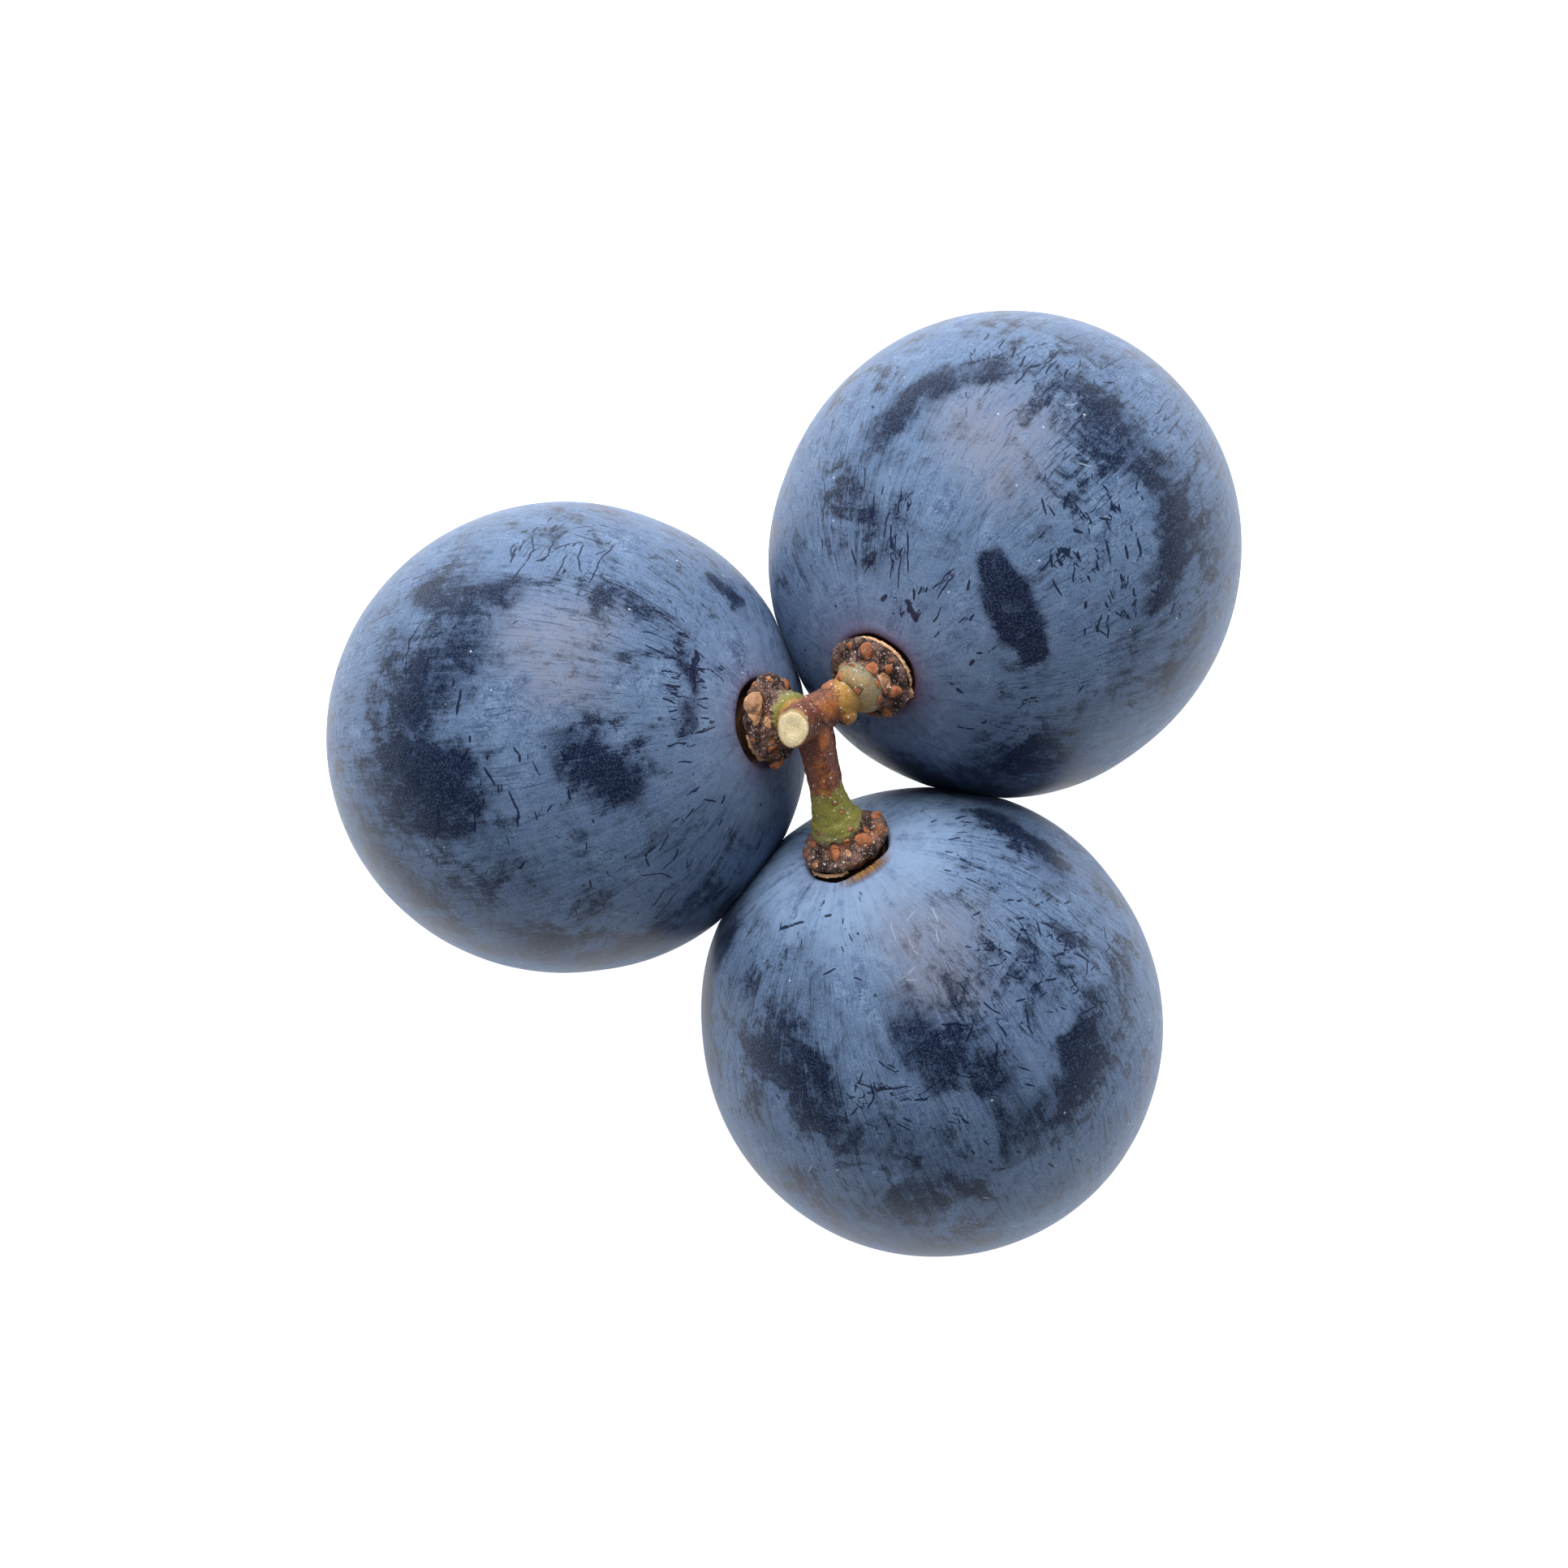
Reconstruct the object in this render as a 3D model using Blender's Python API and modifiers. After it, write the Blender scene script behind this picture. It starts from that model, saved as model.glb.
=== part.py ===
"""A small cut bunch of grapes: three round berries, joined by one forked woody stem, lying on a surface.

Metres, +Z up. The origin is on the surface that the bunch lies on, under the middle of its outline.
The berries stand side by side, each touching the other two, and the stem lies on top of them, where their
stem ends meet. The stub that was cut when the bunch was picked points up.
"""

import math

import bmesh
import bpy
from mathutils import Matrix, Vector
from mathutils.geometry import interpolate_bezier

COLLECTION = "bunch_of_grapes"
CUTTERS = "cutters"

LEFT = "berry_left"
RIGHT = "berry_right"
FRONT = "berry_front"

# ---- berries: length along the stem axis, and width and thickness across it; roll turns the width about
# ---- that axis, heading is where the stem end points on plan, and climb is how far it points up
BERRIES = {
    LEFT: {
        "length": 0.0254, "width": 0.0249, "thickness": 0.0249, "roll": 0.0, "heading": 5.0, "climb": 33.0,
    },
    RIGHT: {
        "length": 0.0259, "width": 0.0255, "thickness": 0.0244, "roll": 45.0, "heading": 222.5, "climb": 42.0,
    },
    FRONT: {
        "length": 0.0250, "width": 0.0243, "thickness": 0.0243, "roll": 0.0, "heading": 115.5, "climb": 33.5,
    },
}
RIGHT_BEARING = 22.7  # degrees, from the left berry's centre to the right berry's, on plan
GAP = 0.0003  # between two pieces that touch
REST_DEPTH = 0.00008  # how far each berry is pressed flat by the surface it lies on
# how far each of two berries is pressed flat by the other
PRESS = {(LEFT, RIGHT): 0.00012, (LEFT, FRONT): 0.00030, (RIGHT, FRONT): 0.00012}

HOLLOW_DEPTH = 0.00055  # the hollow round a berry's stem end, below its end point
HOLLOW_FLOOR = 0.00200  # radius of the hollow's flat floor
HOLLOW_RIM = 0.00280  # radius where the hollow meets the round skin
SCAR_DEPTH = 0.00012  # the dent at the far end, where the flower was
SCAR_RADIUS = 0.0009
BERRY_SIDES = 40
BERRY_RINGS = 21  # between the hollow's rim and the dent
HOLLOW_RINGS = 4  # up the hollow's wall
CLOSEST_POINTS = 0.0001  # merging distance on a turned shape's axis
SKIN_COLOURS = {LEFT: (0.085, 0.135, 0.235), RIGHT: (0.090, 0.140, 0.245), FRONT: (0.095, 0.150, 0.255)}
SKIN_ROUGHNESS = 0.42

# ---- stem
SWELLING_RIM = 0.00220  # radius of the corky swelling that a berry grows on
SWELLING_BASE = 0.00180  # radius of its flat end, in the berry's hollow
SWELLING_LENGTH = 0.0023
STALK_RADIUS = 0.00079  # of a stalklet, half way along
NECK_RADIUS = 0.00090  # of a stalklet, where it meets its swelling
FORK_RADIUS = 0.00098
FORK_LIFT = 0.0098  # height of the fork above the berries' mean centre
FORK_TOWARDS_FRONT = 0.0041  # from the line between the left and right berries' centres
FORK_ALONG = 0.0123  # along that line, from the left berry's centre
STUB_LEAN = 32.0  # degrees from upright
STUB_HEADING = 213.0
STUB_LENGTH = 0.0021
STUB_RADIUS = 0.00090
STUB_FOOT_RADIUS = 0.00086
BUD_RADIUS = 0.00042
BUD_ALONG = 0.50  # share of the right stalklet, from its swelling to the fork
STALK_POINTS = 12
STALK_BEVEL = 3  # gives a tube of ten sides
STALK_SIDES = 14
HANDLE = 0.38  # share of a stalklet's length that each end keeps its direction for
FORK_RISE = 0.25  # how steeply a stalklet still rises where it meets the fork

# Warts: turn about the swelling's axis in degrees, height above its flat end, radius
WARTS = {
    LEFT: [(158, 0.00065, 0.00040), (106, 0.0009, 0.00026), (234, 0.0010, 0.00024), (268, 0.0006, 0.00030)],
    RIGHT: [(218, 0.00095, 0.00036), (128, 0.00105, 0.00036), (172, 0.0010, 0.00030), (70, 0.0009, 0.00030)],
    FRONT: [(214, 0.0010, 0.00032), (156, 0.0009, 0.00030), (92, 0.0011, 0.00024), (276, 0.00095, 0.00028)],
}
WART_SINK = 0.45  # share of a wart's radius that lies under the bark
BARK_COLOUR = (0.19, 0.085, 0.045)
BARK_ROUGHNESS = 0.8

UP = Vector((0, 0, 1))
PLACING_ROUNDS = 12


# ---------------------------------------------------------------- where things are
def stance(berry):
    """Turns a berry from upright, with its stem end at +Z, to how it lies."""
    heading = Matrix.Rotation(math.radians(berry["heading"]), 3, "Z")
    tilt = Matrix.Rotation(math.radians(90 - berry["climb"]), 3, "Y")
    roll = Matrix.Rotation(math.radians(berry["roll"]), 3, "Z")
    return heading @ tilt @ roll


def stem_axis(berry):
    return stance(berry) @ UP


def reach(berry, direction):
    """How far the berry's outline goes from its centre in that direction."""
    along = stance(berry).transposed() @ direction.normalized()
    half = Vector((berry["width"], berry["thickness"], berry["length"])) / 2
    return Vector([half[i] * along[i] for i in range(3)]).length


def centre_height(berry):
    return reach(berry, -UP) - REST_DEPTH


def on_plan(bearing):
    return Vector((math.cos(bearing), math.sin(bearing), 0))


def touching_distance(first, second, bearing):
    """The distance on plan at which the second berry, on that bearing, presses on the first, GAP apart."""
    rise = centre_height(BERRIES[second]) - centre_height(BERRIES[first])
    between = GAP - 2 * PRESS[first, second]
    distance = BERRIES[first]["width"]
    for _ in range(PLACING_ROUNDS):
        across = on_plan(bearing) * distance + UP * rise
        apart = reach(BERRIES[first], across) + reach(BERRIES[second], -across) + between
        distance = math.sqrt(apart**2 - rise**2)
    return distance


def bearing_of(vector):
    return math.atan2(vector.y, vector.x)


def front_corner(left, right):
    """Where the front berry touches both others, on the right of the line between them."""
    base = (right - left).length
    along = (right - left).normalized()
    aside = Vector((along.y, -along.x, 0))
    place = left + along * base / 2 + aside * base
    for _ in range(PLACING_ROUNDS):
        from_left = touching_distance(LEFT, FRONT, bearing_of(place - left))
        from_right = touching_distance(RIGHT, FRONT, bearing_of(place - right))
        foot = (from_left**2 - from_right**2 + base**2) / (2 * base)
        place = left + along * foot + aside * math.sqrt(from_left**2 - foot**2)
    return place


def berry_places():
    """Each berry's centre, with the middle of the bunch's outline at x = y = 0."""
    bearing = math.radians(RIGHT_BEARING)
    left = Vector((0, 0, 0))
    right = on_plan(bearing) * touching_distance(LEFT, RIGHT, bearing)
    places = {LEFT: left, RIGHT: right, FRONT: front_corner(left, right)}
    middle = Vector((0, 0, 0))
    for side in (Vector((1, 0, 0)), Vector((0, 1, 0))):
        high = max(places[name].dot(side) + reach(BERRIES[name], side) for name in BERRIES)
        low = min(places[name].dot(side) - reach(BERRIES[name], -side) for name in BERRIES)
        middle += side * (high + low) / 2
    return {name: places[name] - middle + UP * centre_height(BERRIES[name]) for name in BERRIES}


def stem_end(name, places):
    """The centre of the floor of the berry's hollow."""
    berry = BERRIES[name]
    return places[name] + stem_axis(berry) * (berry["length"] / 2 - HOLLOW_DEPTH)


def fork_place(places):
    """Over the gap between the berries, FORK_TOWARDS_FRONT of the line from the left to the right one."""
    line = (places[RIGHT] - places[LEFT]) * Vector((1, 1, 0))
    along = line.normalized()
    aside = Vector((along.y, -along.x, 0))
    foot = places[LEFT] + along * FORK_ALONG + aside * FORK_TOWARDS_FRONT
    mean_height = sum(place.z for place in places.values()) / len(places)
    return Vector((foot.x, foot.y, mean_height + FORK_LIFT))


# ---------------------------------------------------------------- making
def clear_scene():
    for obj in list(bpy.data.objects):
        bpy.data.objects.remove(obj, do_unlink=True)


def new_collection(name):
    collection = bpy.data.collections.new(name)
    bpy.context.scene.collection.children.link(collection)
    return collection


def add_object(name, data, collection):
    obj = bpy.data.objects.new(name, data)
    collection.objects.link(obj)
    return obj


def hide(obj):
    obj.hide_render = True
    obj.display_type = "WIRE"


def plain_material(name, colour, roughness):
    material = bpy.data.materials.new(name)
    material.use_nodes = True
    shader = material.node_tree.nodes["Principled BSDF"]
    shader.inputs["Base Color"].default_value = (*colour, 1)
    shader.inputs["Roughness"].default_value = roughness
    shader.inputs["Metallic"].default_value = 0
    return material


def turned(name, profile, sides, collection):
    """A solid of revolution about Z. The profile's (radius, height) points run down its outer side."""
    mesh = bpy.data.meshes.new(name)
    points = [(radius, 0, height) for radius, height in profile]
    mesh.from_pydata(points, [(i, i + 1) for i in range(len(points) - 1)], [])
    obj = add_object(name, mesh, collection)
    screw = obj.modifiers.new("turned", "SCREW")
    screw.steps = sides
    screw.render_steps = sides
    screw.use_merge_vertices = True
    screw.merge_threshold = CLOSEST_POINTS
    screw.use_smooth_shade = True
    return obj


def smooth_step(x):
    x = min(max(x, 0), 1)
    return x * x * (3 - 2 * x)


def berry_profile(berry):
    """Down one side: hollow floor, hollow wall, round skin and the dent at the far end."""
    half_length = berry["length"] / 2
    half_width = berry["width"] / 2
    floor = half_length - HOLLOW_DEPTH
    points = [(0, floor), (HOLLOW_FLOOR / 2, floor)]
    for i in range(HOLLOW_RINGS + 1):
        share = i / HOLLOW_RINGS
        radius = HOLLOW_FLOOR + (HOLLOW_RIM - HOLLOW_FLOOR) * share
        skin = half_length * math.sqrt(1 - (radius / half_width) ** 2)
        points.append((radius, floor + (skin - floor) * smooth_step(share)))
    start = math.asin(HOLLOW_RIM / half_width)
    end = math.pi - math.asin(SCAR_RADIUS / half_width)
    for i in range(1, BERRY_RINGS + 1):
        angle = start + (end - start) * i / BERRY_RINGS
        points.append((half_width * math.sin(angle), half_length * math.cos(angle)))
    points.append((SCAR_RADIUS / 2, -half_length + SCAR_DEPTH))
    points.append((0, -half_length + SCAR_DEPTH))
    return points


def block(name, place, normal, side, depth, collection):
    """A square block that fills one side of a plane: its face is at the place, and normal points into it."""
    normal = normal.normalized()
    bpy.ops.mesh.primitive_cube_add(size=1)
    cutter = bpy.context.active_object
    cutter.name = name
    turn = normal.to_track_quat("Z", "Y")
    cutter.matrix_world = Matrix.LocRotScale(place + normal * depth / 2, turn, Vector((side, side, depth)))
    for owner in list(cutter.users_collection):
        owner.objects.unlink(cutter)
    collection.objects.link(cutter)
    hide(cutter)
    return cutter


def pressed_sides(name, places, collection):
    """Blocks that flatten a berry where the surface and the other two berries press on it."""
    berry = BERRIES[name]
    side = berry["width"]  # far wider than any flat
    depth = side / 4  # far deeper than any press
    below = places[name] * Vector((1, 1, 0))
    block(name + "_by_surface", below, -UP, side, depth, collection)
    for pair, press in PRESS.items():
        if name not in pair:
            continue
        other = pair[0] if pair[1] == name else pair[1]
        normal = (places[other] - places[name]).normalized()
        face = places[name] + normal * (reach(berry, normal) - press)
        block(f"{name}_by_{other}", face, normal, side, depth, collection)


def make_berry(name, places, collection, cutters):
    berry = BERRIES[name]
    obj = turned(name, berry_profile(berry), BERRY_SIDES, collection)
    out_of_round = Vector((1, berry["thickness"] / berry["width"], 1))
    obj.matrix_world = Matrix.LocRotScale(places[name], stance(berry), out_of_round)
    blocks = bpy.data.collections.new(name + "_pressed")
    cutters.children.link(blocks)
    pressed_sides(name, places, blocks)
    pressed = obj.modifiers.new("pressed", "BOOLEAN")
    pressed.operation = "DIFFERENCE"
    pressed.operand_type = "COLLECTION"
    pressed.collection = blocks
    pressed.solver = "EXACT"
    obj.data.materials.append(plain_material(name, SKIN_COLOURS[name], SKIN_ROUGHNESS))
    return obj


def swelling_profile():
    """Down one side: from the stalklet's end to the flat end in the berry's hollow."""
    length = SWELLING_LENGTH
    spread = SWELLING_RIM - NECK_RADIUS
    return [
        (0, length),
        (NECK_RADIUS, length),
        (NECK_RADIUS + 0.10 * spread, 0.74 * length),
        (NECK_RADIUS + 0.36 * spread, 0.54 * length),
        (NECK_RADIUS + 0.74 * spread, 0.40 * length),
        (SWELLING_RIM, 0.26 * length),
        (0.985 * SWELLING_RIM, 0.11 * length),
        (SWELLING_BASE, 0),
        (0, 0),
    ]


def swelling_radius(height):
    """The swelling's radius at a height above its flat end."""
    profile = swelling_profile()[1:-1]
    for (upper_radius, upper), (lower_radius, lower) in zip(profile, profile[1:]):
        if lower <= height <= upper:
            share = (height - lower) / (upper - lower)
            return lower_radius + (upper_radius - lower_radius) * share
    return NECK_RADIUS


def swelling_frame(name, places):
    """The swelling's own axes: +Z away from the berry, with its flat end GAP above the hollow's floor."""
    upright = dict(BERRIES[name], roll=0.0)
    end = stem_end(name, places) + stem_axis(upright) * GAP
    return Matrix.Translation(end) @ stance(upright).to_4x4()


def ball(name, centre, radius, collection):
    mesh = bpy.data.meshes.new(name)
    shape = bmesh.new()
    bmesh.ops.create_icosphere(shape, subdivisions=2, radius=radius)
    shape.to_mesh(mesh)
    shape.free()
    obj = add_object(name, mesh, collection)
    obj.location = centre
    return obj


def tapered_tube(name, points, radii, collection):
    """A tube along the points, as a mesh with its ends closed."""
    curve = bpy.data.curves.new(name, "CURVE")
    curve.dimensions = "3D"
    curve.bevel_depth = 1
    curve.bevel_resolution = STALK_BEVEL
    curve.use_fill_caps = True
    spline = curve.splines.new("POLY")
    spline.points.add(len(points) - 1)
    for point, place, radius in zip(spline.points, points, radii):
        point.co = (*place, 1)
        point.radius = radius
    guide = add_object(name + "_guide", curve, collection)
    graph = bpy.context.evaluated_depsgraph_get()
    mesh = bpy.data.meshes.new_from_object(guide.evaluated_get(graph))
    shape = bmesh.new()
    shape.from_mesh(mesh)
    bmesh.ops.remove_doubles(shape, verts=shape.verts, dist=1e-6)
    bmesh.ops.recalc_face_normals(shape, faces=shape.faces)
    shape.to_mesh(mesh)
    shape.free()
    tube = add_object(name, mesh, collection)
    tube.matrix_world = guide.matrix_world
    bpy.data.objects.remove(guide, do_unlink=True)
    return tube


def stalklet_line(frame, fork):
    """Points from inside the swelling, out along its axis and over to the fork."""
    start = frame @ Vector((0, 0, SWELLING_LENGTH / 2))
    out = (frame.to_3x3() @ UP).normalized()
    span = (fork - start).length
    flat = (fork - start) * Vector((1, 1, 0))
    arrive = (flat.normalized() + UP * FORK_RISE).normalized()
    first_handle = start + out * span * HANDLE
    last_handle = fork - arrive * span * HANDLE
    return interpolate_bezier(start, first_handle, last_handle, fork, STALK_POINTS)


def stalklet_radii():
    """From the swelling's neck, thinnest half way along, to the fork."""
    radii = []
    for i in range(STALK_POINTS):
        share = i / (STALK_POINTS - 1)
        end = NECK_RADIUS if share < 0.5 else FORK_RADIUS
        radii.append(STALK_RADIUS + (end - STALK_RADIUS) * (2 * share - 1) ** 2)
    return radii


def stub_direction():
    lean = math.radians(STUB_LEAN)
    return on_plan(math.radians(STUB_HEADING)) * math.sin(lean) + UP * math.cos(lean)


def make_stub(fork, collection):
    """The cut end: a short post from the fork, with a flat face square to it."""
    axis = stub_direction()
    profile = [(0, STUB_LENGTH), (STUB_RADIUS, STUB_LENGTH), (STUB_FOOT_RADIUS, 0), (0, 0)]
    stub = turned("stub", profile, STALK_SIDES, collection)
    turn = axis.to_track_quat("Z", "Y")
    stub.matrix_world = Matrix.LocRotScale(fork, turn, None)
    return stub


def make_warts(frame, warts, name, collection):
    for number, (turn, height, radius) in enumerate(warts):
        angle = math.radians(turn)
        out = swelling_radius(height) - radius * WART_SINK
        place = Vector((out * math.cos(angle), out * math.sin(angle), height))
        ball(f"{name}_wart_{number}", frame @ place, radius, collection)


def make_bud(line, collection):
    """A dormant bud on the side of the right stalklet."""
    here = round(BUD_ALONG * (STALK_POINTS - 1))
    side = UP.cross(line[-1] - line[0]).normalized()
    ball("bud", line[here] + side * STALK_RADIUS, BUD_RADIUS, collection)


def make_stem(places, collection, cutters):
    """Swellings, stalklets, fork, stub, warts and bud, grown together as one solid."""
    fork = fork_place(places)
    pieces = bpy.data.collections.new("stem_pieces")
    cutters.children.link(pieces)
    for name in BERRIES:
        frame = swelling_frame(name, places)
        swelling = turned(name + "_swelling", swelling_profile(), STALK_SIDES, pieces)
        swelling.matrix_world = frame
        line = stalklet_line(frame, fork)
        tapered_tube(name + "_stalklet", line, stalklet_radii(), pieces)
        make_warts(frame, WARTS[name], name, pieces)
        if name == RIGHT:
            make_bud(line, pieces)
    make_stub(fork, pieces)
    for piece in pieces.objects:
        hide(piece)
    stem = ball("stem", fork, FORK_RADIUS, collection)
    grown = stem.modifiers.new("grown_together", "BOOLEAN")
    grown.operation = "UNION"
    grown.operand_type = "COLLECTION"
    grown.collection = pieces
    grown.solver = "EXACT"
    stem.data.materials.append(plain_material("stem", BARK_COLOUR, BARK_ROUGHNESS))
    return stem


def main():
    clear_scene()
    collection = new_collection(COLLECTION)
    cutters = new_collection(CUTTERS)
    places = berry_places()
    for name in BERRIES:
        make_berry(name, places, collection, cutters)
    make_stem(places, collection, cutters)


main()
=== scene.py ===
"""Three blue grapes on a forked piece of stem: the fruit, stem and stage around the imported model."""

import math

import bmesh
import bpy
import numpy as np
from bpy.props import FloatProperty, FloatVectorProperty, IntProperty, PointerProperty
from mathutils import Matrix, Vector, noise


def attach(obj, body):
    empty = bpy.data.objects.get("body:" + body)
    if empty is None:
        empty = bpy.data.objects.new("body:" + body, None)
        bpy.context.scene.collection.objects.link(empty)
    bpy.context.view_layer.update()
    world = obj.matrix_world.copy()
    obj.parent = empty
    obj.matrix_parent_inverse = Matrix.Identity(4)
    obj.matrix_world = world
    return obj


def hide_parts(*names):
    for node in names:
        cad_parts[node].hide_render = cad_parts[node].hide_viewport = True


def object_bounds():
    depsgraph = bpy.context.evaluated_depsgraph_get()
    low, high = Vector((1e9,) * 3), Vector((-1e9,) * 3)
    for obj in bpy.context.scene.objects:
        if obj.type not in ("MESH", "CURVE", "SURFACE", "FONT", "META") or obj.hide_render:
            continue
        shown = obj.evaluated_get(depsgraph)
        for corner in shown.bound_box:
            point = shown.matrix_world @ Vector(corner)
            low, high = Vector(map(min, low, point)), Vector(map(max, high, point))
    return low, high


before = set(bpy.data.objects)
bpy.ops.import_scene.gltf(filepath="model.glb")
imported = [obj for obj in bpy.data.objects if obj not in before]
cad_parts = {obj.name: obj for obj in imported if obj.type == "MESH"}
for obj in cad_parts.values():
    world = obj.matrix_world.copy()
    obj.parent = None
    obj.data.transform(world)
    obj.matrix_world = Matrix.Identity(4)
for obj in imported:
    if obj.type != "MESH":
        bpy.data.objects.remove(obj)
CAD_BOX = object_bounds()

bl_info = {
    "name": "Bunch of grapes",
    "version": (1, 0, 0),
    "blender": (4, 5, 0),
    "location": "3D View > Sidebar > Grapes",
    "description": "Builds three bloomed grapes, their forked woody stem and a plain studio",
    "category": "Add Mesh",
}

MM = 0.001
BERRIES = ("berry_left", "berry_right", "berry_front")
STEM = "stem"
NOISE_SEED = 7  # without it, noise vectors start from the clock and differ from run to run


# ---------------------------------------------------------------------------
# Settings


def length(name, description, default):
    """A size in metres that the sidebar shows."""
    return FloatProperty(name=name, description=description, default=default, unit="LENGTH", precision=5)


def share(name, description, default):
    """A share from 0 to 1 that the sidebar shows."""
    return FloatProperty(
        name=name, description=description, default=default, min=0.0, max=1.0, subtype="FACTOR"
    )


def colour(name, description, red, green, blue):
    """A colour given as everyday 0 to 255 values, kept as the linear light that shaders use."""
    return FloatVectorProperty(
        name=name, description=description, default=light_of(red, green, blue), size=3,
        min=0.0, max=1.0, subtype="COLOR",
    )


def light_of(*channels):
    """Linear light of 0 to 255 screen values."""
    found = []
    for channel in channels:
        value = channel / 255
        found.append(value / 12.92 if value <= 0.04045 else ((value + 0.055) / 1.055) ** 2.4)
    return tuple(found)


class GrapeSkinSettings(bpy.types.PropertyGroup):
    """Sizes and colours of the berries."""

    sides: IntProperty(name="Sides", description="Points round each berry", default=400, min=64, max=440)
    hollow_depth: length("Hollow depth", "How deep the stem end of a berry is sunk", 0.00085)
    hollow_rim: length("Hollow rim", "Radius where the sunk stem end meets the skin", 0.00282)
    hollow_foot: length("Hollow foot", "Radius of the floor of the sunk stem end", 0.00235)
    waviness: length("Waviness", "How far the skin strays from a smooth egg shape", 0.00004)
    swell: length("Swelling", "How far a berry swells towards its neighbours", 0.00020)
    resting_gap: length("Contact gap", "Air left between two berries that touch", 0.000002)
    skin: colour("Bare skin", "Skin where the bloom is rubbed off", 10, 20, 46)
    skin_older: colour("Older skin", "Bare skin that was rubbed earlier", 14, 23, 50)
    bloom: colour("Bloom", "The waxy bloom on the skin", 92, 114, 148)
    bloom_pale: colour("Thick bloom", "The bloom where it lies thickest", 132, 158, 192)
    bloom_deep: colour("Thin bloom", "The bloom where the skin shows through", 56, 74, 108)
    # The dusty bloom colour is a painted highlight: the grey-lavender of the soft lamp's broad reflection on
    # each crown.
    painted_highlight: colour("Dusty bloom", "Greyer bloom on the crown of a berry", 116, 122, 142)
    halo: colour("Stem-end flush", "The reddish skin round the stem end", 104, 46, 64)
    cavity: colour("Hollow", "The corky floor under the stem", 84, 60, 46)
    fibre: colour("Torn fibre", "Golden fibres on the edge of the hollow", 150, 112, 66)
    speck: colour("Dust", "Tiny pale specks", 205, 212, 222)
    rough_bloom: share("Bloom roughness", "Roughness where there is bloom", 0.50)
    rough_skin: share("Skin roughness", "Roughness of bare skin", 0.34)


class GrapeStemSettings(bpy.types.PropertyGroup):
    """Sizes and colours of the stem."""

    grid: length("Grid", "Spacing of the stem's mesh", 0.00006)
    cork_relief: length("Cork relief", "Height of the grains on the corky ends", 0.00013)
    bark_relief: length("Bark relief", "Height of the ridges on the smooth bark", 0.00006)
    cork: colour("Cork", "Corky ends next to the berries", 104, 78, 70)
    cork_dark: colour("Cork hollows", "Pits between the grains of cork", 44, 28, 26)
    cork_pale: colour("Cork grains", "Tops of the grains of cork", 142, 112, 98)
    salt: colour("Salt", "Palest grains of cork", 196, 178, 168)
    amber: colour("Amber bark", "Orange parts of the brown bark", 172, 102, 46)
    brown: colour("Brown bark", "Reddish bark round the fork", 102, 54, 38)
    green: colour("Green bark", "Young olive-green bark", 122, 122, 48)
    grey_green: colour("Grey-green bark", "Bark just above the corky ends", 128, 122, 98)
    golden: colour("Golden bark", "Yellowish bark beside the brown", 178, 134, 62)
    wart: colour("Warts", "Orange lenticels and warts", 170, 106, 70)
    wart_dark: colour("Wart hollows", "Darker parts of the warts", 122, 70, 44)
    scale: colour("Scales", "Tan bark scales", 200, 152, 112)
    wood: colour("Cut wood", "Pith and wood of the cut end", 240, 222, 176)
    wood_pale: colour("Pale pith", "Palest grains of the cut end", 255, 250, 232)
    wood_rim: colour("Cut rim", "Yellow rim of the cut end", 214, 168, 82)


class GrapeStageSettings(bpy.types.PropertyGroup):
    """The camera, the lights and the floor."""

    view_width: length("View width", "Width seen at the berries' middle height", 0.0829)
    camera_height: length("Camera height", "Height of the camera above the floor", 0.42)
    key_power: FloatProperty(
        name="Key power", description="Power of the large soft lamp", default=3.7, unit="POWER"
    )
    key_size: length("Key size", "Side of the large soft lamp", 0.34)
    key_distance: length("Key distance", "Distance of the large soft lamp", 0.5)
    surround: FloatProperty(
        name="Surround", description="Strength of the white surround", default=0.27, min=0.0
    )
    floor_glow: FloatProperty(
        name="Floor glow", description="Light that the white floor gives off", default=0.9, min=0.0
    )


# ---------------------------------------------------------------------------
# Materials


class Wire:
    """The output of a shader node, with arithmetic that adds Math nodes."""

    def __init__(self, maker, socket):
        self.maker = maker
        self.socket = socket

    def maths(self, operation, first, second=None):
        values = {0: first} if second is None else {0: first, 1: second}
        return self.maker.node("ShaderNodeMath", {"operation": operation}, values)

    def __add__(self, other):
        return self.maths("ADD", self, other)

    def __radd__(self, other):
        return self.maths("ADD", other, self)

    def __sub__(self, other):
        return self.maths("SUBTRACT", self, other)

    def __rsub__(self, other):
        return self.maths("SUBTRACT", other, self)

    def __mul__(self, other):
        return self.maths("MULTIPLY", self, other)

    def __rmul__(self, other):
        return self.maths("MULTIPLY", other, self)

    def __pow__(self, other):
        return self.maths("POWER", self, other)

    def __abs__(self):
        return self.maths("ABSOLUTE", self)

    def most(self, other):
        """The greater of the two."""
        return self.maths("MAXIMUM", self, other)

    def least(self, other):
        """The lesser of the two."""
        return self.maths("MINIMUM", self, other)

    def rise(self, low, high):
        """0 below low, 1 above high and smooth between. It falls if high is below low."""
        return self.maker.node(
            "ShaderNodeMapRange",
            {"interpolation_type": "SMOOTHSTEP"},
            {"Value": self, "From Min": low, "From Max": high},
        )


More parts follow.
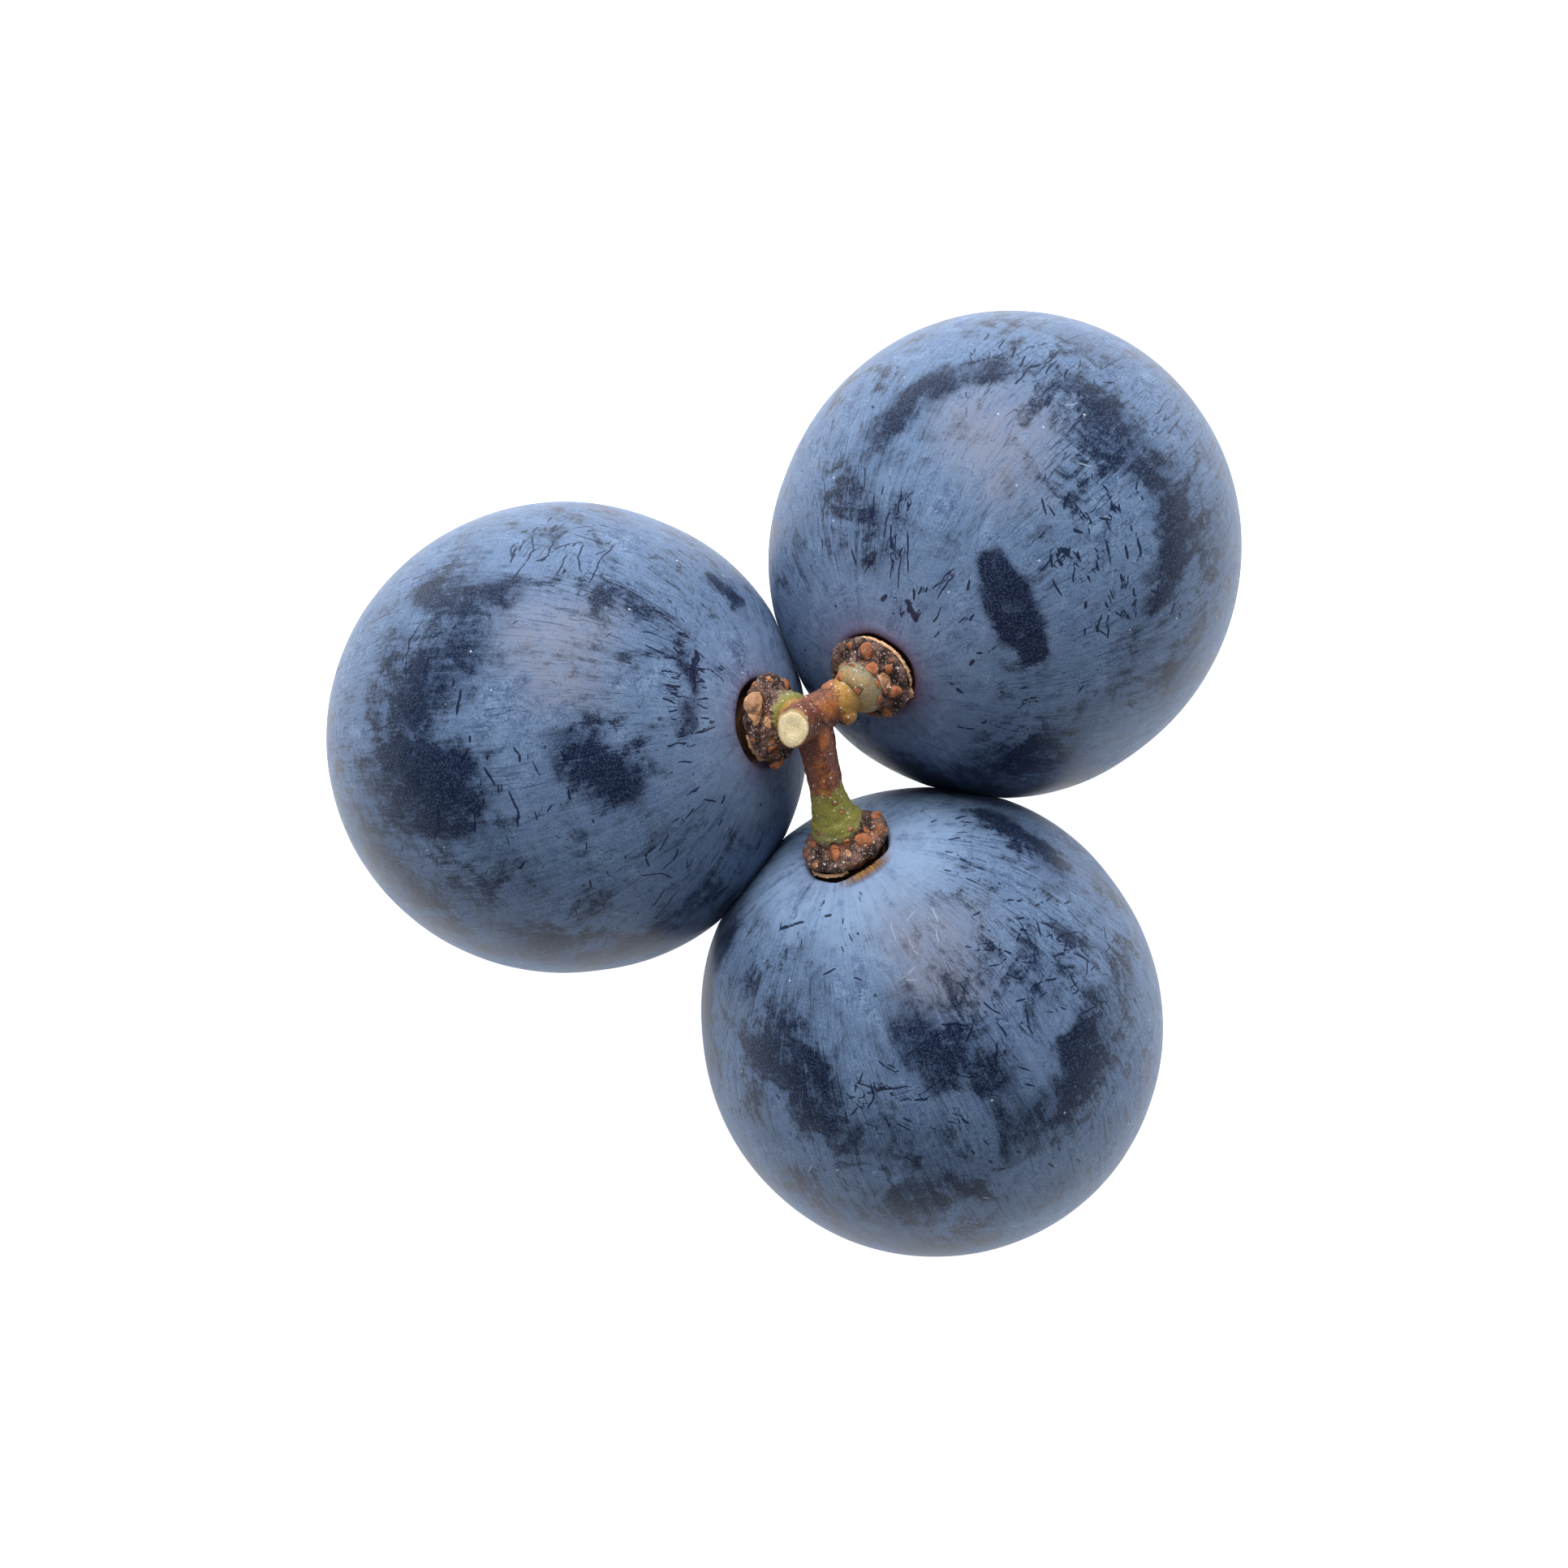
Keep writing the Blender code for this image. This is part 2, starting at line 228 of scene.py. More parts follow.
class Maker:
    """Builds the node tree of one material, or of the world."""

    def __init__(self, name, world=None):
        self.material = world or bpy.data.materials.new(name)
        self.material.use_nodes = True
        self.tree = self.material.node_tree
        self.tree.nodes.clear()

    def node(self, kind, settings, inputs, output=0):
        """Adds one node: its settings first, then the values or links of its sockets."""
        made = self.tree.nodes.new(kind)
        for key, value in settings.items():
            setattr(made, key, value)
        for key, value in inputs.items():
            if isinstance(value, Wire):
                self.tree.links.new(value.socket, made.inputs[key])
            else:
                made.inputs[key].default_value = value
        return Wire(self, made.outputs[output]) if made.outputs else None

    def here(self):
        """Where a point is, in millimetres."""
        place = self.node("ShaderNodeTexCoord", {}, {}, "Object")
        return self.scaled(place, 1000)

    def scaled(self, vector, by):
        """A vector times a number, or times one number for each axis."""
        if isinstance(by, (int, float)):
            by = (by, by, by)
        return self.node("ShaderNodeVectorMath", {"operation": "MULTIPLY"}, {0: vector, 1: by})

    def moved(self, vector, by):
        """A vector shifted, so that two patterns don't line up."""
        return self.node("ShaderNodeVectorMath", {"operation": "ADD"}, {0: vector, 1: by})

    def field(self, name):
        """A vector kept at each point of the mesh."""
        return self.node("ShaderNodeAttribute", {"attribute_name": name}, {}, "Vector")

    def parts(self, vector):
        """The three numbers in a vector."""
        first = self.node("ShaderNodeSeparateXYZ", {}, {0: vector})
        node = first.socket.node
        return [Wire(self, node.outputs[axis]) for axis in range(3)]

    def noise(self, vector, scale, detail=2.0, roughness=0.5, distortion=0.0):
        """Cloudy noise, about 0.5 on average."""
        sockets = {"Scale": scale, "Detail": detail, "Roughness": roughness, "Distortion": distortion}
        return self.node("ShaderNodeTexNoise", {}, {"Vector": vector, **sockets})

    def cells(self, vector, scale, output="Distance"):
        """Distance to the middle of the nearest of many scattered cells, or that cell's random colour."""
        return self.node("ShaderNodeTexVoronoi", {}, {"Vector": vector, "Scale": scale}, output)

    def flecks(self, vector, scale, outer, inner, chosen, channel=0, soft=0.02):
        """Round flecks, on the share of the cells whose random number in that channel is above chosen."""
        picked = self.parts(self.cells(vector, scale, "Color"))[channel].rise(chosen, chosen + soft)
        return self.cells(vector, scale).rise(outer, inner) * picked

    def blend(self, first, second, factor):
        """From the first colour to the second as the factor goes from 0 to 1."""
        return self.node(
            "ShaderNodeMix", {"data_type": "RGBA"}, {0: factor, 6: opaque(first), 7: opaque(second)}, 2
        )

    def bump(self, height, distance, strength=1.0):
        """Relief of that many metres that only the shading shows."""
        return self.node(
            "ShaderNodeBump", {}, {"Height": height, "Distance": distance, "Strength": strength}
        )

    def surface(self, inputs):
        """Finishes the material with one Principled shader."""
        shader = self.node("ShaderNodeBsdfPrincipled", {}, inputs)
        self.node("ShaderNodeOutputMaterial", {}, {"Surface": shader})
        return self.material


def opaque(value):
    """A colour with its alpha, or a link as it is."""
    return value if isinstance(value, Wire) else (*value, 1.0)


# How much each kind of unevenness counts in how far the bloom is rubbed off.
CLOUDY_WEAR = 2.1
CURDLED_WEAR = 1.5
BRUSHED_WEAR = 0.9
COMBED_WEAR = 0.5
GRAIN_WEAR = 0.7
HIDDEN_WEAR = 0.85  # how worn the patches on the underside are
# Heights of the fine grain of the skin, the bark and the papery edges, in metres.
SKIN_GRAIN = 0.00002
BARK_GRAIN = 0.00006
PAPER_GRAIN = 0.00003
# Bluish gloss of the waxy skin.
SKIN_TINT = (0.62, 0.78, 1.0, 1.0)
SHEEN_TINT = (0.45, 0.66, 1.0, 1.0)
SPECK_TONE = (0.72, 0.70, 0.66)  # pale specks on the bark


def skin_material(name, look):
    """Dark grape skin under a waxy bloom that is rubbed, smudged, combed and ticked, with painted shade
    where berries touch and a painted highlight on each crown.
    """
    make = Maker(name)
    here = make.here()
    comb = make.field("comb")
    smudge_and_shade, loose, streaky = make.parts(make.field("wear_and_shade"))
    halo, hollow, fibre = make.parts(make.field("stem_end"))
    painted_highlight, pale_and_lit = make.parts(make.field("dust"))[:2]

    broad = make.noise(here, 0.16, 3.0, 0.55)
    cloudy = make.noise(here, 0.30, 6.0, 0.70, 1.1)
    curdled = make.noise(make.moved(here, (5.0, 1.0, 3.0)), 0.95, 6.0, 0.74, 0.8)
    grain = make.noise(here, 7.0, 3.0, 0.7)
    frost = make.cells(make.moved(here, (2.0, 4.0, 6.0)), 10.0).rise(0.60, 0.15)
    brushed = make.noise(make.scaled(comb, (1.0, 1.0, 0.16)), 0.9, 5.0, 0.62, 0.35)
    combed = make.noise(make.scaled(comb, (1.0, 1.0, 0.07)), 4.2, 3.0, 0.6, 0.2)
    hairs = make.noise(make.scaled(comb, (1.0, 1.0, 0.09)), 2.3, 2.0, 0.5, 0.9)

    uneven = (
        (cloudy - 0.5) * CLOUDY_WEAR
        + (curdled - 0.5) * CURDLED_WEAR
        + (brushed - 0.5) * BRUSHED_WEAR
        + (combed - 0.5) * COMBED_WEAR
        + (grain - 0.5) * GRAIN_WEAR
    )
    hidden_patch = loose * broad.rise(0.47, 0.62) * HIDDEN_WEAR
    # Rubbed patches and patches of painted shade, where berries touch and at lower edges, both show here as
    # bare, dark skin.
    worn_and_shaded = smudge_and_shade.most(hidden_patch)
    level = worn_and_shaded * 0.80 + worn_and_shaded**4.0 * 0.16 + streaky * 0.24 + uneven * (streaky * 1.45 + 0.38)
    patch_cover = level.rise(-0.06, 1.04)
    line = abs(hairs - 0.5).rise(0.017, 0.003) * (streaky * 0.65 + 0.12)

    marks = [stroke_mask(make, field) for field in ("strokes", "ticks")]
    dark_mark = marks[0].most(marks[1]).most(0.0).least(1.0)
    pale_mark = (marks[0].least(marks[1]) * -1.0).most(0.0).least(1.0)

    bare = 1 - (1 - patch_cover * (0.98 - frost * 0.22)) * (1 - line) * (1 - dark_mark * 0.90)
    bare = bare * (1 - pale_mark * 0.5)

    waxy = make.blend(look.bloom_deep, look.bloom, (brushed * 0.4 + cloudy * 0.6).rise(0.34, 0.56))
    waxy = make.blend(waxy, look.bloom_pale, (curdled * 0.6 + grain * 0.4).rise(0.44, 0.64) * 0.75)
    waxy = make.blend(waxy, look.bloom_pale, frost * 0.32)
    # Paler bloom near the stem end: partly pale bloom, partly painted light lifting the shade round the
    # stem.
    waxy = make.blend(waxy, look.bloom_pale, pale_and_lit * (brushed * 0.5 + curdled * 0.5).rise(0.32, 0.58))
    # Painted highlight: the bloom turns grey-lavender round the spot on each crown where the soft lamp's
    # reflection falls.
    waxy = make.blend(waxy, look.painted_highlight, painted_highlight * (cloudy * 0.5 + curdled * 0.5).rise(0.30, 0.58))
    naked = make.blend(look.skin, look.skin_older, broad.rise(0.5, 0.7) * 0.35)
    tone = make.blend(waxy, naked, bare)
    tone = make.blend(tone, look.halo, halo * 0.9)
    tone = make.blend(tone, look.speck, pale_mark * 0.20)

    dust = make.flecks(make.moved(here, (3.1, 7.7, 1.9)), 0.85, 0.075, 0.04, 0.70)
    tone = make.blend(tone, look.speck, dust * 0.6)
    dots = make.flecks(make.moved(here, (9.3, 2.2, 5.4)), 0.7, 0.085, 0.05, 0.66, channel=1)
    tone = make.blend(tone, look.skin, dots * 0.75)

    ridges = make.noise(make.scaled(comb, (0.4, 0.4, 5.0)), 1.0, 2.0, 0.6, 0.3)
    corky = make.blend(look.cavity, look.fibre, ridges.rise(0.5, 0.75) * 0.5)
    tone = make.blend(tone, corky, hollow)
    threads = make.noise(make.scaled(comb, (9.0, 9.0, 0.6)), 1.0, 2.0, 0.6)
    golden = make.blend(look.cavity, look.fibre, threads.rise(0.34, 0.6))
    tone = make.blend(tone, golden, fibre)

    roughness = look.rough_bloom - bare * (look.rough_bloom - look.rough_skin) + (grain - 0.5) * 0.12
    roughness = roughness.most(hollow * 0.85)
    relief = (
        (1 - bare) * 0.35
        + grain * 0.30
        + combed * 0.35
        + ridges * hollow * 2.0
        + threads * fibre * 3.0
        + dust * 0.8
    )
    return make.surface(
        {
            "Base Color": tone,
            "Roughness": roughness,
            "Normal": make.bump(relief, SKIN_GRAIN, 0.6),
            "IOR": 1.36,
            "Specular IOR Level": 0.34,
            "Specular Tint": SKIN_TINT,
            "Sheen Weight": 0.03,
            "Sheen Roughness": 0.4,
            "Sheen Tint": SHEEN_TINT,
        }
    )


def stroke_mask(make, field):
    """1 inside a dark stroke, -1 inside a pale one and 0 elsewhere."""
    across, along, near = make.parts(make.field(field))
    inside = (across * across + along**4.0).rise(1.15, 0.45)
    return inside * near


def bark_material(look):
    """Cork, smooth bark from brown to green, warts, scales and the cut end."""
    make = Maker("grape_bark")
    here = make.here()
    corky, wart, scale = make.parts(make.field("bark_kind"))
    brown, green, golden = make.parts(make.field("bark_tone"))
    cut, rim, height = make.parts(make.field("bark_cut"))

    soft = make.noise(here, 0.9, 4.0, 0.6, 0.3)
    fine = make.noise(here, 4.5, 4.0, 0.68)
    speckle = make.noise(make.moved(here, (4.0, 0.0, 8.0)), 9.0, 2.0, 0.7)
    grainy = make.cells(here, 4.2)
    salty = make.moved(here, (1.0, 6.0, 2.0))
    salt = make.cells(salty, 7.5)

    stray = (speckle - 0.5) * 0.9 + (fine - 0.5) * 0.8
    golden = (golden + stray * golden.rise(0.0, 0.3) * golden.rise(1.0, 0.7)).most(0.0).least(1.0)
    brown_share = (brown + stray * brown.rise(0.0, 0.2) * brown.rise(1.0, 0.8)).rise(0.25, 0.75)
    corky_share = (corky + stray * corky.rise(0.0, 0.2) * corky.rise(1.0, 0.8)).rise(0.25, 0.75)
    smooth = make.blend(look.grey_green, look.green, (green + stray * 0.5).most(0.0).least(1.0))
    smooth = make.blend(smooth, look.golden, golden)
    ruddy = make.blend(look.brown, look.amber, (soft * 0.7 + fine * 0.3).rise(0.47, 0.62) * 0.8)
    ruddy = make.blend(ruddy, look.cork_dark, (soft * 0.4 + fine * 0.6).rise(0.50, 0.34) * 0.6)
    smooth = make.blend(smooth, ruddy, brown_share)
    smooth = make.blend(smooth, look.cork_dark, (soft * 0.4 + fine * 0.6).rise(0.54, 0.72) * 0.5)
    smooth = make.blend(smooth, look.wart_dark, speckle.rise(0.54, 0.66) * 0.45)
    smooth = make.blend(smooth, look.salt, speckle.rise(0.43, 0.30) * 0.40)

    cork = make.blend(look.cork_dark, look.cork, height.rise(-0.45, 0.10))
    cork = make.blend(cork, look.cork_pale, height.rise(0.10, 0.75) * 0.7)
    cork = make.blend(cork, look.amber, soft.rise(0.50, 0.66) * 0.38)
    cork = make.blend(cork, look.cork_dark, fine.rise(0.53, 0.70) * 0.65)
    grains = make.flecks(salty, 7.5, 0.40, 0.14, 0.25, soft=0.10)
    cork = make.blend(cork, look.salt, grains * 0.75)

    tone = make.blend(smooth, cork, corky_share)
    for mark, core, edge in ((wart, look.wart, look.wart_dark), (scale, look.scale, look.cork)):
        mottled = make.blend(core, edge, (fine * 0.5 + speckle * 0.5).rise(0.46, 0.66) * 0.75)
        tone = make.blend(tone, look.cork_dark, mark.rise(0.04, 0.22) * 0.65)
        tone = make.blend(tone, mottled, mark.rise(0.26, 0.46))
        tone = make.blend(tone, edge, mark.rise(0.88, 1.0) * 0.35)
    pith = make.blend(look.wood, look.wood_pale, salt.rise(0.45, 0.15) * 0.8)
    pith = make.blend(pith, look.wood_rim, (fine * 0.5 + speckle * 0.5).rise(0.50, 0.68) * 0.8)
    tone = make.blend(tone, pith, cut)
    tone = make.blend(tone, look.wood_rim, (rim + (speckle - 0.5) * 0.8 * rim).rise(0.2, 0.7) * 0.85)

    dust = make.flecks(here, 3.2, 0.23, 0.12, 0.30) * (1 - cut)
    tone = make.blend(tone, SPECK_TONE, dust * 0.75)

    roughness = 0.60 + (fine - 0.5) * 0.3 + corky * 0.2 - brown * 0.10
    relief = fine * 0.5 + speckle * 0.35 + (1 - grainy) * corky * 0.6 + grains * corky * 0.5 + dust * 0.4
    bump = make.bump(relief, BARK_GRAIN, 0.8)
    return make.surface({"Base Color": tone, "Roughness": roughness, "Normal": bump, "IOR": 1.42})


# ---------------------------------------------------------------------------
# Berries


# How far off the egg shape a point may be and still count in the next fit, in mm. The last fit needs none.
FIT_LIMITS = (0.35, 0.06, None)
FLOOR_SHARE = 0.9  # points sunk this share of the deepest one are on the hollow's floor


class Berry:
    """The egg shape, stem axis and frame of one berry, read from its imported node."""

    def __init__(self, node):
        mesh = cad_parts[node].data
        points = np.empty(len(mesh.vertices) * 3, np.float32)
        mesh.vertices.foreach_get("co", points)
        points = points.reshape(-1, 3).astype(float) / MM
        self.name = node
        self.fit(points)
        offsets = points - self.centre
        away = np.linalg.norm(offsets, axis=1)
        short = self.radius(offsets / away[:, None]) - away
        self.floor = points[short > short.max() * FLOOR_SHARE].mean(0)
        self.axis = (self.floor - self.centre) / np.linalg.norm(self.floor - self.centre)
        side = np.cross((0.0, 0.0, 1.0), self.axis)
        self.side = side / np.linalg.norm(side)
        self.face = np.cross(self.side, self.axis)
        self.mean = float(np.mean([1 / math.sqrt(v) for v in np.linalg.eigvalsh(self.shape)]))

    def fit(self, points):
        """Least-squares egg shape through the points that lie on it."""
        middle = (points.min(0) + points.max(0)) / 2
        kept = points - middle
        for limit in FIT_LIMITS:
            x, y, z = kept.T
            squares = [x * x, y * y, z * z, 2 * y * z, 2 * x * z, 2 * x * y]
            terms = np.column_stack([*squares, 2 * x, 2 * y, 2 * z])
            v = np.linalg.lstsq(terms, np.ones(len(kept)), rcond=None)[0]
            square = np.array([[v[0], v[5], v[4]], [v[5], v[1], v[3]], [v[4], v[3], v[2]]])
            centre = -np.linalg.solve(square, v[6:])
            self.shape = square / (1 + centre @ square @ centre)
            if limit is None:
                break
            offsets = points - middle - centre
            away = np.linalg.norm(offsets, axis=1)
            kept = (points - middle)[np.abs(self.radius(offsets / away[:, None]) - away) < limit]
        self.centre = centre + middle

    def radius(self, directions):
        """From the centre to the skin, in mm."""
        return 1 / np.sqrt(np.einsum("ij,jk,ik->i", directions, self.shape, directions))

    def furthest(self, normal):
        """From the centre to the point of the skin furthest along a direction."""
        reach = np.linalg.solve(self.shape, normal)
        return reach / math.sqrt(normal @ reach)

    def direction(self, away, turn):
        """Unit directions at these degrees, away from the stem end and round it from its underside."""
        away, turn = np.radians(away), np.radians(turn)
        across = np.multiply.outer(np.cos(turn), self.face)
        across = across + np.multiply.outer(np.sin(turn), self.side)
        return np.cos(away)[..., None] * self.axis + np.sin(away)[..., None] * across


# Rubbed patches, and a few patches of painted shade where berries touch and along their lower edges:
# strength, half-width in mm, then points as (degrees from the stem end, degrees round it).
RUBBED_AND_SHADED_PATCHES = {
    "berry_left": [
        (0.95, 1.7, [(94, 169), (100, 181), (91, 187)]),
        (0.95, 1.5, [(91, 187), (88, 196), (98, 193)]),
        (0.75, 1.2, [(90, 163), (81, 162)]),
        (0.60, 0.8, [(82, 188), (79, 193)]),
        (0.80, 1.0, [(98, 138), (85, 143), (75, 140)]),
        (0.60, 0.9, [(87, 151), (78, 154)]),
        (0.50, 1.0, [(102, 152), (107, 170)]),
        (0.98, 1.2, [(53, 183), (50, 189), (45, 196)]),
        (0.40, 0.8, [(59, 184), (57, 190)]),
        (0.90, 0.32, [(28, 146), (24, 162), (26, 179)]),
        (0.90, 0.5, [(35, 89), (31, 84)]),
        (0.50, 0.8, [(54, 134), (44, 130)]),
        (0.40, 0.7, [(36, 128), (33, 137)]),
        (0.50, 1.0, [(78, 206), (75, 216)]),
        (0.60, 1.8, [(113, 217), (99, 223)]),
        (0.50, 1.4, [(110, 187), (113, 205)]),
        (0.65, 1.6, [(84, 240), (73, 258), (62, 263)]),
        # Painted shade: the next two darken this berry where it presses against the front berry.
        (0.60, 1.9, [(52, 278), (62, 286)]),
        (0.30, 1.2, [(48, 256), (62, 256)]),
        (0.35, 1.6, [(90, 218), (86, 236)]),
        (0.30, 0.9, [(75, 106), (66, 100)]),
        (0.35, 1.3, [(62, 230), (72, 226)]),
    ],
    "berry_right": [
        (0.92, 0.85, [(59, 235), (67, 232), (73, 226)]),
        (0.75, 0.7, [(73, 226), (82, 216)]),
        (0.50, 0.6, [(55, 238), (52, 232)]),
        (0.60, 0.8, [(91, 202), (90, 196)]),
        (0.95, 1.3, [(90, 188), (88, 181), (89, 174)]),
        (0.70, 1.0, [(84, 186), (81, 179)]),
        (0.95, 0.9, [(88, 168), (86, 160), (83, 151)]),
        (0.80, 1.0, [(83, 151), (78, 147), (74, 143)]),
        (0.45, 1.2, [(68, 138), (66, 132)]),
        (0.50, 1.1, [(96, 164), (92, 148)]),
        (1.00, 1.15, [(39, 170), (38, 155)]),
        (1.00, 0.7, [(41, 180), (39, 165), (39, 145)]),
        (0.36, 0.9, [(47, 245), (39, 236)]),
        (0.36, 0.9, [(36, 223), (27, 229)]),
        (0.62, 1.3, [(38, 92), (48, 97)]),
        (0.50, 1.2, [(37, 73), (36, 84)]),
        (0.35, 1.2, [(54, 112), (60, 116)]),
        (0.45, 1.2, [(77, 115), (80, 125)]),
        # Painted shade: darkening along the bottom edge where this berry meets the front berry.
        (0.90, 2.6, [(42, 40), (48, 58), (58, 72)]),
        (0.45, 1.0, [(104, 150), (101, 140)]),
        (0.35, 1.0, [(105, 196), (108, 208)]),
    ],
    "berry_front": [
        (0.92, 1.0, [(39, 79), (48, 76), (56, 80)]),
        (0.50, 1.2, [(58, 84), (64, 92)]),
        (0.97, 0.9, [(36, 275), (41, 265), (47, 259), (52, 254)]),
        (0.85, 1.1, [(49, 128), (55, 135)]),
        (0.97, 1.3, [(55, 131), (63, 140)]),
        (0.85, 1.0, [(63, 140), (69, 141)]),
        (0.55, 0.8, [(58, 126), (56, 118)]),
        (0.60, 1.0, [(50, 173), (57, 175)]),
        (0.88, 1.15, [(57, 175), (64, 177)]),
        (0.82, 1.1, [(63, 187), (70, 188)]),
        (0.50, 0.9, [(76, 187), (84, 190)]),
        (0.45, 1.2, [(77, 150), (84, 167)]),
        (0.80, 0.9, [(77, 221), (82, 212)]),
        (0.85, 1.1, [(82, 212), (90, 202)]),
        (0.50, 1.0, [(89, 214), (79, 239)]),
        (0.55, 1.3, [(90, 185), (91, 194)]),
        (0.45, 1.4, [(95, 169), (100, 145)]),
        (0.55, 1.4, [(92, 124), (100, 130)]),
        (0.50, 1.8, [(115, 142), (130, 160)]),
        (0.45, 1.0, [(70, 118), (76, 121)]),
        (0.35, 1.0, [(60, 210), (62, 216)]),
        (0.45, 1.3, [(112, 172), (116, 190)]),
        (0.36, 1.8, [(37, 104), (50, 106)]),
        (0.28, 1.2, [(32, 131), (40, 139)]),
    ],
}

# Single strokes by half-width in mm, which is below zero for pale ones: points as for the patches.
STROKES = {
    "berry_left": {
        0.07: [
            [(95, 148), (98, 153), (98, 158), (97, 164)], [(76, 186), (74, 191)], [(27, 222), (25, 229)],
        ],
        0.06: [
            [(76, 120), (73, 125), (73, 130), (74, 137)], [(57, 112), (57, 121), (56, 131)],
            [(63, 118), (62, 124), (59, 129)], [(58, 187), (53, 187), (48, 186)], [(68, 182), (67, 184)],
        ],
        0.05: [
            [(70, 120), (69, 126)], [(67, 115), (60, 115)], [(77, 122), (76, 127)], [(79, 124), (78, 128)],
            [(65, 124), (64, 130)], [(82, 116), (85, 119)], [(68, 112), (66, 109)],
            [(50, 231), (46, 236), (45, 241)], [(48, 243), (55, 246)], [(47, 248), (57, 251)],
            [(43, 228), (39, 224)], [(64, 186), (63, 190)], [(103, 192), (102, 197)],
            [(98, 186), (92, 186)],
        ],
        0.16: [[(26, 137), (25, 141)]],
        0.14: [[(26, 143), (25, 150)]],
        0.11: [[(25, 150), (24, 156), (24, 160)]],
        0.08: [[(71, 193), (70, 198), (71, 202)]],
        0.09: [[(81, 167), (82, 173)]],
    },
    "berry_right": {
        0.07: [
            [(92, 216), (88, 214)], [(90, 212), (86, 211)], [(92, 206), (88, 205)],
            [(100, 192), (97, 194)], [(60, 184), (58, 180)], [(66, 180), (62, 178)],
            [(68, 170), (70, 168)], [(57, 147), (55, 143), (57, 140)], [(63, 145), (64, 142)],
            [(63, 115), (65, 112)],
        ],
        0.09: [[(90, 208), (87, 209)], [(20, 128), (21, 126)]],
        0.08: [[(93, 202), (90, 201)], [(70, 160), (69, 157)], [(72, 146), (75, 143)]],
        0.06: [
            [(86, 218), (82, 221)], [(80, 224), (84, 220), (87, 215)], [(61, 146), (62, 143)],
            [(50, 164), (50, 158)],
        ],
        0.1: [[(61, 172), (62, 170)], [(66, 164), (65, 161)], [(24, 145), (25, 147)]],
        0.05: [
            [(48, 168), (54, 170)], [(27, 191), (34, 190)], [(26, 187), (33, 188)], [(27, 206), (36, 214)],
            [(22, 208), (32, 214)], [(36, 230), (43, 232)], [(33, 224), (40, 224)], [(46, 260), (43, 262)],
        ],
        0.28: [[(21, 200), (20, 196), (19, 190)]],
        0.14: [[(19, 218), (20, 215)]],
        -0.05: [[(83, 196), (86, 194)], [(73, 184), (75, 181)]],
    },
    "berry_front": {
        0.09: [[(25, 113), (24, 118)], [(20, 144), (20, 148)]],
        0.08: [[(23, 121), (22, 128)], [(64, 228), (68, 230)]],
        0.06: [
            [(34, 152), (35, 146)], [(62, 153), (64, 157), (66, 153)], [(60, 156), (64, 152)],
            [(66, 152), (64, 159)], [(66, 178), (70, 182), (71, 186)], [(62, 196), (66, 196)],
            [(79, 222), (77, 215), (76, 209)], [(75, 217), (77, 222)], [(56, 196), (61, 198)],
            [(68, 231), (70, 226)], [(66, 222), (70, 221)], [(60, 232), (62, 226), (60, 222)],
            [(52, 228), (55, 224)], [(69, 244), (71, 241)], [(47, 118), (50, 116)],
        ],
        -0.05: [[(30, 205), (34, 202)], [(104, 172), (105, 173)]],
        -0.04: [
            [(35, 199), (38, 196)], [(28, 197), (29, 191)], [(33, 187), (36, 186), (38, 187)],
            [(27, 184), (32, 181)], [(40, 184), (41, 179)], [(42, 178), (43, 182)],
        ],
        0.05: [
            [(63, 160), (69, 154)], [(65, 158), (66, 167)], [(68, 152), (70, 149)],
            [(69, 163), (69, 169), (67, 176)], [(80, 220), (79, 215), (78, 210)], [(81, 219), (80, 214)],
            [(82, 218), (83, 212)], [(76, 223), (79, 226), (82, 225)], [(64, 205), (67, 203)],
            [(59, 190), (62, 186)], [(48, 224), (54, 220)], [(72, 118), (76, 121)],
        ],
        0.07: [[(70, 167), (71, 170)], [(70, 190), (66, 193)]],
        -0.06: [[(86, 150), (87, 149)], [(84, 133), (86, 131)]],
    },
}

# Fields of small ticks: how many, (from, to) degrees from the stem end, (from, to) degrees round it,
# length and half-width in mm, and how far they lean from pointing at the stem end.
TICK_FIELDS = {
    "berry_left": [
        (46, (17, 31), (128, 200), 0.55, 0.045, 0),
        (16, (30, 42), (118, 150), 0.8, 0.035, 8),
        (22, (56, 82), (110, 132), 0.55, 0.045, 80),
        (30, (80, 110), (150, 215), 0.5, 0.05, 60),
        (22, (45, 80), (178, 240), 0.4, 0.055, 70),
        (14, (20, 45), (205, 250), 0.5, 0.045, 10),
        (16, (50, 90), (235, 275), 0.9, 0.04, 20),
        (12, (45, 75), (85, 112), 0.4, 0.045, 40),
    ],
    "berry_right": [
        (44, (52, 74), (140, 182), 0.42, 0.065, 75),
        (18, (18, 34), (150, 215), 0.45, 0.05, 5),
        (24, (26, 48), (215, 262), 0.9, 0.035, 4),
        (22, (80, 98), (190, 225), 0.6, 0.05, 20),
        (20, (60, 100), (125, 180), 0.4, 0.05, 60),
        (14, (35, 70), (90, 130), 0.6, 0.045, 10),
        (12, (16, 40), (80, 150), 0.25, 0.05, 0),
    ],
    "berry_front": [
        (14, (15, 30), (60, 190), 0.30, 0.035, 10),
        (18, (16, 34), (215, 290), 0.4, 0.045, 15),
        (36, (46, 76), (205, 246), 0.5, 0.045, 60),
        (24, (55, 80), (160, 215), 0.5, 0.045, 40),
        (22, (60, 95), (110, 160), 0.5, 0.045, 30),
        (16, (85, 120), (130, 220), 0.4, 0.05, 20),
        (10, (30, 60), (85, 150), 0.5, 0.04, 10),
    ],
}
# Strewn over every berry besides.
TICKS_EVERYWHERE = (36, (20, 170), (0, 360), 0.32, 0.045, 40)
